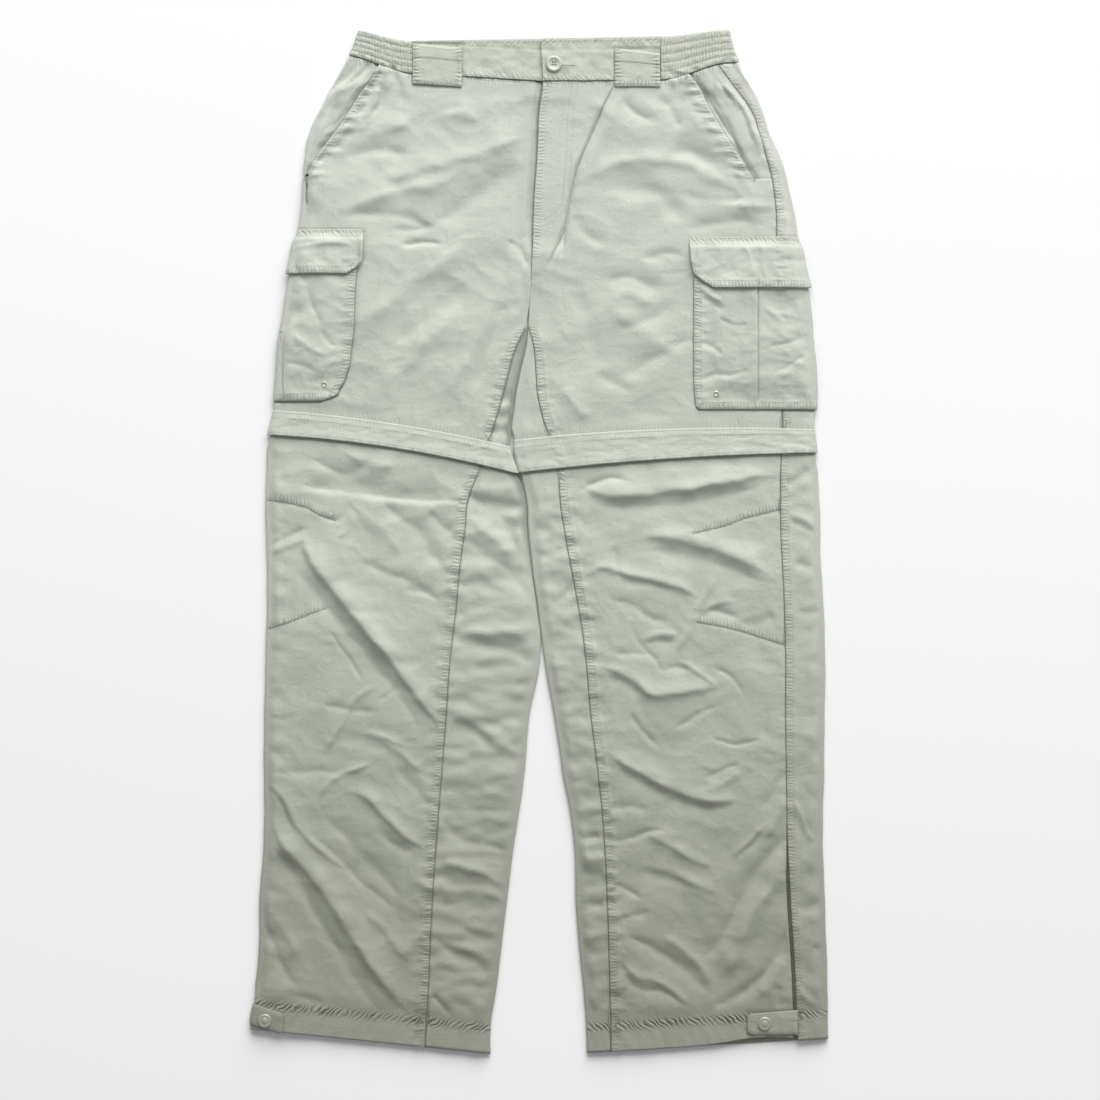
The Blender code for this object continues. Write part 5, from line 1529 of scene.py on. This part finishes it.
def flapOut(side, x, y, u):
    # height of the flap: sewn down along its top, then over the pocket
    facts = cargoFacts[side]
    fromTop = facts["flapTop"] - y
    climb = smooth((fromTop - 4.0) / 9.0)
    under = pocketOut(side, x, np.minimum(y, facts["top"] - 10.0), u)
    inward = (flapFront(side, y) - x) * legs[side]["sign"]
    border = np.minimum(np.abs(inward), y - facts["flapBottom"])
    step = 0.3 * between(border, 1.5, 8.0, 1.4)
    loose = np.maximum(smooth((facts["flapBottom"] + 16.0 - y) / 16.0), smooth((9.0 - inward) / 9.0))
    wave = 0.7 * noiseAt(x, y, 22.0, 110) + 0.3 * noiseAt(x, y, 9.0, 111)
    rope = np.sin(fullTurn * (x + 0.7 * y) / 6.5 + 3.0 * noiseAt(x, y, 30.0, 112))
    top = 0.4 + 0.55 * smooth(fromTop / 5.0) + 0.3 * rope * bell(fromTop - 5.0, 4.5)
    folds = 1.6 * creaseHeight(x, y, creases["flap" + side.capitalize()])
    folds = np.clip(folds - 0.35 * bell(fromTop - 9.5, 1.5), -0.6, None)
    tilt = 1.2 * np.clip(fromTop / 50.0, 0.0, 1.0)
    lifted = under + 0.25 + step + tilt + loose * np.clip(0.9 + wave, 0.2, None) + folds
    height = np.maximum(top, 0.4) + climb * lifted
    return np.minimum(height, 3.4 + 8.0 * smooth((u + 4.0) / 14.0))


def planGrid(side, heights, marks, counts, outward):
    # a sheet by plain heights: columns shared out between the marks round the ring
    heights = np.asarray(heights, dtype=float)[:, None]
    knots = marks(ringAt(side, heights), heights)
    parts = []
    for index, count in enumerate(counts):
        share = np.linspace(0.0, 1.0, count + 1)[None, :]
        share = share if index == len(counts) - 1 else share[:, :-1]
        parts.append(knots[index] + (knots[index + 1] - knots[index]) * share)
    u = np.concatenate(parts, axis=1)
    y = np.repeat(heights, u.shape[1], axis=1)
    x = ringPlace(side, y, u, 0.0, relief=False)[0]
    x, z = ringPlace(side, y, u, outward(side, x, y, u))
    return np.stack([x, y, z], axis=2)


def makeCargo(side):
    facts, sign = cargoFacts[side], legs[side]["sign"]

    def outerMarks(y, wrap):
        # the left one is wrapped round the leg's edge, the right one ends beside it
        marks = [0.0 * y - facts[wrap], 0.0 * y - quarter] if side == "left" else [0.0 * y + 1.0]
        return marks + [0.0 * y + quarter]

    def pocketMarks(ring, y):
        pleat = wayAt(side, ring, facts["pleat"] + 0.0 * y)
        high = wayAt(side, ring, pocketFront(side, y))
        return outerMarks(y, "wrap") + [pleat - 2.5, pleat + 3.0, high - 9.0, high]

    def flapMarks(ring, y):
        high = wayAt(side, ring, flapFront(side, y))
        return outerMarks(y, "flapWrap") + [high - 9.0, high]

    def pocketSeams(x, y):
        return nearestSeam(((pocketFront(side, y) - x) * sign, y), (y - facts["bottom"], x))

    def flapSeams(x, y):
        return nearestSeam((facts["flapTop"] - y, 0.8 * (x + 0.7 * y)),
                           (y - facts["flapBottom"] + 1.0, x))

    heights = spaced(facts["top"], facts["bottom"], cargoFacts["pitch"])
    grid = planGrid(side, heights, pocketMarks, facts["counts"], pocketOut)
    sewPiece("cargo_pocket_" + side, "upper_cloth", grid, facts["flat"],
             "front_panel_" + side, flip=side == "right", seams=pocketSeams)
    heights = spaced(facts["flapTop"], facts["flapBottom"], cargoFacts["flapPitch"])
    grid = planGrid(side, heights, flapMarks, facts["flapCounts"], flapOut)
    sewPiece("cargo_flap_" + side, "upper_cloth", grid, facts["flapFlat"],
             "cargo_pocket_" + side, flip=side == "right", seams=flapSeams)


# hem tabs

tabFacts = {
    "left": {"reach": 36.0, "wrap": 16.0, "top": -494.0, "bottom": -516.0, "slope": -0.30,
             "snap": (-291.5, -512.0)},
    "right": {"front": 223.5, "back": 277.5, "top": -505.0, "bottom": -527.5, "snap": (242.0, -515.5)},
    "rows": 16, "columns": 34, "flat": (0.055, 0.026), "shell": 1.0,
}


def tabGrid(side):
    facts = tabFacts[side]
    across, part = np.meshgrid(np.linspace(0.0, 1.0, tabFacts["columns"]),
                               np.linspace(0.0, 1.0, tabFacts["rows"]))
    edge = np.minimum(np.minimum(across, 1.0 - across) * 50.0, np.minimum(part, 1.0 - part) * 22.0)
    out = 0.95 + 0.9 * smooth(edge / 3.5) + 0.25 * noiseAt(across * 50.0, part * 22.0, 9.0, 112)
    y = facts["top"] + (facts["bottom"] - facts["top"]) * part
    if side == "left":
        u = -facts["wrap"] + (facts["reach"] + facts["wrap"]) * across
        y = y + facts["slope"] * np.clip(u, 0.0, None) - 3.0 * (0.5 - part) * smooth((across - 0.9) / 0.1)
        x, z = ringPlace("left", y, u, out)
        return np.stack([x, y, z], axis=2)
    x = facts["front"] + (facts["back"] - facts["front"]) * across
    y = y + 4.0 * across * (1.0 - part) - 4.0 * (0.5 - part) * smooth((0.1 - across) / 0.1)
    return onTop("right", x, y, out)


def makeTabs():
    for side, cloth in (("left", tabCloth), ("right", lowerCloth)):
        sewPiece("hem_tab_" + side, "lower_cloth", tabGrid(side), tabFacts["flat"],
                 "lower_front_" + side, material=cloth, shell=tabFacts["shell"])


# ankle zip

zipFacts = {"top": -304.0, "tape": 11.0, "pitch": 6.0, "flat": (0.022, 0.245)}
toothFacts = {"Pitch": 0.0016, "Length": 0.0009, "Width": 0.0030, "Height": 0.0011}


def makeAnkleZip():
    def knots(ring, y, station):
        seam = outseamWay("right", ring, y)
        return [seam - zipFacts["tape"], seam, seam + zipFacts["tape"]]

    stations = spaced(zipFacts["top"], legs["right"]["hem"] + 3.0, zipFacts["pitch"])
    grid = placeRows("right", stations, knots, (4, 4), -layer)
    sewPiece("ankle_zip_right", "zip_tape", grid, zipFacts["flat"], "lower_back_right",
             name="ankleZipTape", flip=True)
    return grid[:, 4] + np.array([0.0, 0.0, 0.7])


# things that repeat along a path: one stitch or zip tooth, set along it by a node tree

threadFacts = {"Pitch": 0.0030, "Length": 0.0022, "Width": 0.00062, "Height": 0.00040}
threadLift = garment["shell"] / 2.0 + 0.08


def repeatTree(name, material, shape, inputs):
    tree = bpy.data.node_groups.new(name, "GeometryNodeTree")
    tree.interface.new_socket(name="Geometry", in_out="INPUT", socket_type="NodeSocketGeometry")
    for label, value in shape["sizes"].items():
        socket = tree.interface.new_socket(name=label, in_out="INPUT", socket_type="NodeSocketFloat")
        socket.default_value = value
    tree.interface.new_socket(name="Geometry", in_out="OUTPUT", socket_type="NodeSocketGeometry")
    inn, out = addNode(tree, "NodeGroupInput").outputs, addNode(tree, "NodeGroupOutput").inputs
    curve = addNode(tree, "GeometryNodeMeshToCurve", {0: inn["Geometry"]})
    spots = addNode(tree, "GeometryNodeResampleCurve",
                    {"Curve": curve.outputs[0], "Length": inn["Pitch"]}, mode="LENGTH")
    tangent = addNode(tree, "GeometryNodeInputTangent")
    turn = addNode(tree, "FunctionNodeAlignEulerToVector", {"Vector": tangent.outputs[0]}, axis="Y",
                   pivot_axis="Z")
    size = addNode(tree, "ShaderNodeCombineXYZ", {0: inn["Width"], 1: inn["Length"], 2: inn["Height"]})
    form = addNode(tree, shape["node"], inputs)
    copies = addNode(tree, "GeometryNodeInstanceOnPoints", {
        "Points": spots.outputs[0], "Instance": form.outputs[0], "Rotation": turn.outputs[0],
        "Scale": size.outputs[0]})
    solid = addNode(tree, "GeometryNodeRealizeInstances", {0: copies.outputs[0]})
    paint = addNode(tree, "GeometryNodeSetMaterial",
                    {"Geometry": solid.outputs[0], "Material": material})
    feed(tree, out[0], paint.outputs[0])
    return tree


def evaluatedMesh(thing):
    bpy.context.view_layer.update()
    graph = bpy.context.evaluated_depsgraph_get()
    return bpy.data.meshes.new_from_object(thing.evaluated_get(graph))


def repeatAlong(name, paths, tree, sizes, material):
    # paths in millimetres become one plain mesh of repeated pieces
    points, edges = [], []
    for path in paths:
        start = len(points)
        points += toWorld(path).tolist()
        edges += [(start + i, start + i + 1) for i in range(len(path) - 1)]
    mesh = bpy.data.meshes.new(name + "Path")
    mesh.from_pydata(points, edges, [])
    guide = bpy.data.objects.new(name + "Path", mesh)
    visible.objects.link(guide)
    maker = guide.modifiers.new("repeat", "NODES")
    maker.node_group = tree
    for item in tree.interface.items_tree:
        if item.item_type == "SOCKET" and item.in_out == "INPUT" and item.name in sizes:
            maker[item.identifier] = sizes[item.name]
    made = evaluatedMesh(guide)
    made.name = name
    guide.modifiers.clear()
    bpy.data.objects.remove(guide, do_unlink=True)
    made.shade_smooth()
    return meshPiece(name, made, material)


# rows of stitching, each a path on the cloth

def steps(start, end, pitch=2.0):
    return np.array(spaced(start, end, pitch))


def ringPath(side, station, start, end, out):
    # along one row of the cloth, between two ways round that are given from the ring's length
    def knots(ring, y, station):
        return [start(ring), end(ring)]

    return placeRows(side, [station], knots, (248,), out)[0]


def borderPath(grid, inset, lift):
    # a row inside the edges of a grid
    rows, cols = grid.shape[:2]
    i0, i1 = int(rows * inset[1]), int(rows * (1.0 - inset[1])) - 1
    j0, j1 = int(cols * inset[0]), int(cols * (1.0 - inset[0])) - 1
    border = np.concatenate([grid[i0, j0:j1], grid[i0:i1, j1], grid[i1, j1:j0:-1], grid[i1:i0:-1, j0],
                             grid[i0:i0 + 1, j0]])
    return border + np.array([0.0, 0.0, lift])


def topPath(side, x, y, extra=0.0):
    return onTop(side, x, y + 0.0 * x, threadLift + extra)


def pocketPath(side, x, y, outward):
    # on a pocket or flap, at the height of its own cloth
    y = y + 0.0 * x
    return topPath(side, x, y, outward(side, x, y, wayAt(side, ringAt(side, y), x)))


def panelPaths(side):
    leg = legs[side]
    sign = leg["sign"]
    right = side == "right"
    flapTop, flapLow, hem = leg["flapTop"], leg["flapFree"] - 4.0, leg["hem"]
    runs = [("Inseam", (-2.0 * sign, -8.6 * sign),
             ((garment["crotch"] - 6.0, flapTop + 10.0), (flapLow - 8.0, hem + 1.5)))]
    if right:
        runs.append(("Outseam", (2.2, 8.4),
                     ((436.0, 330.0), (138.0, flapTop + 8.0), (flapLow - 2.0, hem + 40.0))))
    for seam, insets, stretches in runs:
        for start, end in stretches:
            y = steps(start, end)
            for inset in insets:
                yield topPath(side, sectionAt(y, side + seam) + inset, y)
    y = steps(496.0 if right else 500.0, leg["notch"] + 9.0)
    for away in (4.0, 12.5):
        x = openingX(side, y) + sign * away
        low = y < rowLine(side, waistSeam - 2.0, x)
        yield topPath(side, x[low], y[low], bandRaise(side, x[low], y[low]))
    endY, endX = openingRows[side][-1]
    x = steps(endX, endX + sign * 14.0, 1.5)
    yield topPath(side, x, endY - 2.0, bandRaise(side, x, endY - 2.0 + 0.0 * x))
    for numbers in darts[side]:
        dartX, dartY = dartLine(numbers)
        x = steps(dartX[0] + 3.0, dartX[-1])
        yield topPath(side, x, np.interp(x, dartX, dartY) + 2.0)


def waistPaths(side):
    elasticAt, sign = legs[side]["elastic"], legs[side]["sign"]
    x = steps(elasticAt + sign * 2.0, sectionAt(waistSeam, side + "Inner") - sign * 3.0)
    for station in (waistSeam + 2.6, waistTop - 3.0):
        y = rowLine(side, station, x)
        yield topPath(side, x, y, raisedBand(side, x, y) + 0.15)
    y = rowLine(side, waistSeam - 2.4, x)
    raised = np.maximum(flyRaise(x, y) if side == "right" else 0.0, bandRaise(side, x, y))
    yield topPath(side, x, y, raised)
    for rib in range(waistFacts["ribs"] + 1):
        part = min(max(rib / waistFacts["ribs"], 0.06), 0.94)

        def gathered(x, y, u):
            gather = noiseAt(x, 30.0 * part + 0.0 * x, 4.6, 83)
            return threadLift + 0.5 + 0.35 * waistFacts["gather"] * gather

        yield ringPath(side, waistSeam + part * waistHeight, lambda ring: -38.0,
                       lambda ring: wayAt(side, ring, elasticAt - sign), gathered)


def ringPaths(side):
    # storm flap and hem, all round: each row on top and underneath
    leg = legs[side]
    for row in (leg["flapTop"] - 2.4, leg["flapTop"] - 8.6, leg["flapFree"] + 3.5):
        def onFlap(x, y, u):
            return kneeOut(side, row, x, y, u) + threadLift

        yield ringPath(side, row, lambda ring: 0.5, lambda ring: ring["length"] - 0.5, onFlap)
        yield ringPath(side, row, lambda ring: ring["length"] + 4.0,
                       lambda ring: 2.0 * ring["length"] - 4.0, onFlap)
    row = leg["hem"] + garment["hemWidth"] - 1.0
    yield ringPath(side, row, lambda ring: 1.0, lambda ring: ring["length"] - 1.0, threadLift)
    yield ringPath(side, row, lambda ring: ring["length"] + 2.0,
                   lambda ring: 2.0 * ring["length"] - 2.0, threadLift)


def cargoPaths(side):
    facts, sign = cargoFacts[side], legs[side]["sign"]
    bottom, flapTop, flapBottom = facts["bottom"], facts["flapTop"], facts["flapBottom"]
    outer, flapOuter, flapTopOuter = (sectionAt(y, side + "Outer") + sign * 5.0
                                      for y in (bottom, flapBottom, flapTop))
    for away in (2.4, 8.0):
        y = steps(flapBottom - 2.0, bottom + away + 1.0)
        yield pocketPath(side, pocketFront(side, y) - sign * away, y, pocketOut)
        x = steps(pocketFront(side, bottom) - sign * away, outer)
        yield pocketPath(side, x, bottom + away, pocketOut)
    for away in (2.4, 7.6):
        y = steps(flapTop - 2.0, flapBottom + away, 1.8)
        x = flapFront(side, y) - sign * away
        tail = steps(x[-1], flapOuter)[1:]
        yield pocketPath(side, np.concatenate([x, tail]),
                         np.concatenate([y, 0.0 * tail + flapBottom + away]), flapOut)
    flapX = edgeTable(facts["flapFront"])[1]
    x = steps(flapX.max() - 3.0 if side == "left" else flapX.min() + 3.0, flapTopOuter)
    for away in (2.2, 7.8):
        yield pocketPath(side, x, flapTop - away, flapOut)


def flyPaths():
    # along the fly's edge, and the curved rows round the placket
    y = steps(waistSeam - 3.0, 345.0)
    x = sectionAt(y, "rightInner") + 2.4
    yield topPath("right", x, y, flyRaise(x, y))
    turn = np.linspace(0.0, math.pi / 2.0, 24)[1:]
    for inset in (0.0, 6.0):
        y = steps(waistSeam - 3.0, 376.0)
        x = sectionAt(y, "rightInner") + 37.0 - inset
        x = np.concatenate([x, x[-1] - (35.0 - inset) * (1.0 - np.cos(turn))])
        y = np.concatenate([y, y[-1] - (40.0 - inset) * np.sin(turn)])
        yield topPath("right", x, y, flyRaise(x, y))


def stitchPaths():
    paths = []
    for side in ("left", "right"):
        for made in (panelPaths, waistPaths, ringPaths, cargoPaths):
            paths += made(side)
        grid = loopGrid(side)
        paths.append(borderPath(grid, (0.06, 0.08), 0.5))
        paths.append(grid[15, 3:-3] + np.array([0.0, 0.0, 0.5]))
        paths.append(borderPath(tabGrid(side), (0.06, 0.12), 0.55))
    paths += flyPaths()
    # the cross of thread on the button
    facts = buttonFacts
    reach = facts["holeAt"] * 0.75
    z = topHeight("right", facts["x"], facts["y"], layer) + facts["height"] - 0.1
    for turn in (1.0, -1.0):
        paths.append([(facts["x"] - reach, facts["y"] - turn * reach, z),
                      (facts["x"] + reach, facts["y"] + turn * reach, z)])
    # centre back seam, underneath
    y = steps(waistSeam - 18.0, garment["crotch"] + 6.0)
    for away in (-3.0, 3.0):
        x = sectionAt(y, "leftInner") + away
        paths.append(np.stack([x, y, 0.0 * x + rest - threadLift], axis=1))
    return paths


# fastenings

buttonFacts = {"x": 17.0, "y": 509.0, "radius": 8.5, "height": 2.8, "hole": 1.0, "holeAt": 1.9}
snapProfile = ((0.0, 1.55), (2.6, 1.5), (3.3, 1.2), (3.7, 0.95), (4.2, 1.0), (5.4, 1.3), (6.4, 1.15),
               (7.2, 0.7), (7.5, 0.3), (7.5, 0.0), (0.0, 0.0))
eyeletProfile = ((1.5, 0.25), (1.7, 0.6), (2.2, 0.85), (2.8, 0.7), (3.2, 0.25), (3.2, 0.0), (1.5, 0.0))


def turnedMesh(name, profile, sides, place):
    # a round piece from its profile in radius and height
    shape = bmesh.new()
    rings = []
    for radius, height in profile:
        ring = []
        for step in range(1 if radius < 0.01 else sides):
            turn = fullTurn * step / sides
            point = (place[0] + radius * math.cos(turn), place[1] + radius * math.sin(turn),
                     place[2] + height)
            ring.append(shape.verts.new(toWorld([point])[0]))
        rings.append(ring)
    if profile[0][0] > 0.0:
        rings.append(rings[0])
    for low, high in zip(rings[:-1], rings[1:]):
        for step in range(sides):
            following = (step + 1) % sides
            corners = [low[step % len(low)], low[following % len(low)],
                       high[following % len(high)], high[step % len(high)]]
            corners = [c for i, c in enumerate(corners) if c not in corners[:i]]
            if len(corners) > 2:
                shape.faces.new(corners)
    bmesh.ops.recalc_face_normals(shape, faces=shape.faces)
    mesh = bpy.data.meshes.new(name)
    shape.to_mesh(mesh)
    shape.free()
    mesh.shade_smooth()
    return mesh


def topHeight(side, x, y, out):
    return float(onTop(side, np.array([x]), np.array([y]), out)[0, 2])


def cutHoles(thing, centres, radius):
    pinProfile = ((0.0, 6.0), (radius, 6.0), (radius, -6.0), (0.0, -6.0))
    for number, centre in enumerate(centres):
        pinMesh = turnedMesh("pin%d" % number, pinProfile, 16, centre)
        pin = bpy.data.objects.new("pin%d" % number, pinMesh)
        visible.objects.link(pin)
        cut = thing.modifiers.new("hole", "BOOLEAN")
        cut.object = pin
        cut.operation = "DIFFERENCE"
        cut.solver = "EXACT"
        made = evaluatedMesh(thing)
        thing.modifiers.clear()
        thing.data = made
        bpy.data.objects.remove(pin, do_unlink=True)


def makeButton():
    facts = buttonFacts
    r, h = facts["radius"], facts["height"]
    z = topHeight("right", facts["x"], facts["y"], layer) + 0.7
    profile = ((0.0, h - 1.0), (r * 0.5, h - 1.05), (r * 0.6, h - 0.8), (r * 0.68, h - 0.25),
               (r * 0.78, h), (r * 0.9, h - 0.1), (r * 0.98, h - 0.6), (r, h - 1.1), (r - 0.1, 0.7),
               (r - 0.8, 0.0), (0.0, 0.0))
    button = meshPiece("waistButton", turnedMesh("waistButton", profile, 56, (facts["x"], facts["y"], z)),
                       buttonFinish)
    turns = [math.pi / 4.0 + index * math.pi / 2.0 for index in range(4)]
    cutHoles(button, [(facts["x"] + facts["holeAt"] * math.cos(turn),
                       facts["y"] + facts["holeAt"] * math.sin(turn), z) for turn in turns],
             facts["hole"])
    ridePiece(button, "button", "waist_button")


def makeTrim(side):
    # the snap on the hem tab and the eyelet in the pocket
    x, y = tabFacts[side]["snap"]
    place = (x, y, topHeight(side, x, y, layer) + 0.45)
    snap = meshPiece("hemSnap" + side.capitalize(), turnedMesh("hemSnap", snapProfile, 48, place),
                     metalFinish)
    ridePiece(snap, "metal_trim", "hem_snap_" + side)
    x, y = cargoFacts[side]["eyelet"]
    z = float(pocketPath(side, np.array([x]), y, pocketOut)[0, 2]) - threadLift + 0.35
    eyelet = meshPiece("eyelet" + side.capitalize(), turnedMesh("eyelet", eyeletProfile, 32, (x, y, z)),
                       ringFinish)
    ridePiece(eyelet, "metal_trim", "eyelet_" + side)


for side in ("left", "right"):
    makeShorts(side)
    makeFacing(side)
    makeLowerLeg(side)
    makeKnee(side)
    makeWaist(side)
    makeCargo(side)
    print(side, "leg made")
makeWaistBack()
makeFrontLoops()
makeTabs()
zipPath = makeAnkleZip()
makeButton()
for side in ("left", "right"):
    makeTrim(side)
print("fastenings made")
stitchTree = repeatTree("stitchRows", threadFinish,
                        {"node": "GeometryNodeMeshUVSphere", "sizes": threadFacts},
                        {"Segments": 4, "Rings": 3, "Radius": 0.5})
stitches = repeatAlong("stitching", stitchPaths(), stitchTree, threadFacts, threadFinish)
ridePiece(stitches, "upper_cloth")
toothTree = repeatTree("zipTeeth", threadFinish, {"node": "GeometryNodeMeshCube", "sizes": toothFacts},
                       {"Size": (1.0, 1.0, 1.0)})
teeth = repeatAlong("ankleZipTeeth", [zipPath], toothTree, toothFacts, tapeCloth)
ridePiece(teeth, "zip_tape")
print("stitching made")

# floor, light and camera

studioFacts = {
    "frameWidth": 1.177,      # metres across the picture
    "centre": (0.01224, -0.00863),
    "height": 3.4,
    "floor": (0.865, 0.87, 0.87), "floorReach": 6.0,
    "keyPlace": (1.13, 6.4, 4.0), "keySize": 7.5, "keyPower": 938.0,
    "sky": 0.36,
}


def placeInScene(name, data):
    thing = bpy.data.objects.new(name, data)
    bpy.context.scene.collection.objects.link(thing)
    return thing


def makeStudio():
    facts = studioFacts
    scene = bpy.context.scene
    floorMesh = bpy.data.meshes.new("studioFloor")
    reach = facts["floorReach"]
    floorMesh.from_pydata([(-reach, -reach, 0.0), (reach, -reach, 0.0), (reach, reach, 0.0),
                           (-reach, reach, 0.0)], [], [(0, 1, 2, 3)])
    floorMesh.materials.append(plainMaterial("studioFloor", facts["floor"], 0.9))
    floor = placeInScene("studioFloor", floorMesh)
    floor.location.z = -0.0002
    lamp = bpy.data.lights.new("keyLight", "AREA")
    lamp.shape = "DISK"
    lamp.size = facts["keySize"]
    lamp.energy = facts["keyPower"]
    key = placeInScene("keyLight", lamp)
    key.location = facts["keyPlace"]
    x, y, z = facts["keyPlace"]
    key.rotation_euler = (0.0, math.acos(z / math.hypot(x, y, z)), math.atan2(y, x))
    world = bpy.data.worlds.new("studioSky")
    world.use_nodes = True
    background = world.node_tree.nodes["Background"]
    background.inputs["Color"].default_value = (1.0, 1.0, 1.0, 1.0)
    background.inputs["Strength"].default_value = facts["sky"]
    scene.world = world
    lens = bpy.data.cameras.new("photoCamera")
    lens.sensor_width = 36.0
    lens.lens = 36.0 * facts["height"] / facts["frameWidth"]
    lens.clip_end = 50.0
    camera = placeInScene("photoCamera", lens)
    camera.location = (*facts["centre"], facts["height"])
    scene.camera = camera
    scene.view_settings.view_transform = "Standard"
    scene.view_settings.look = "None"


makeStudio()
print("studio made")
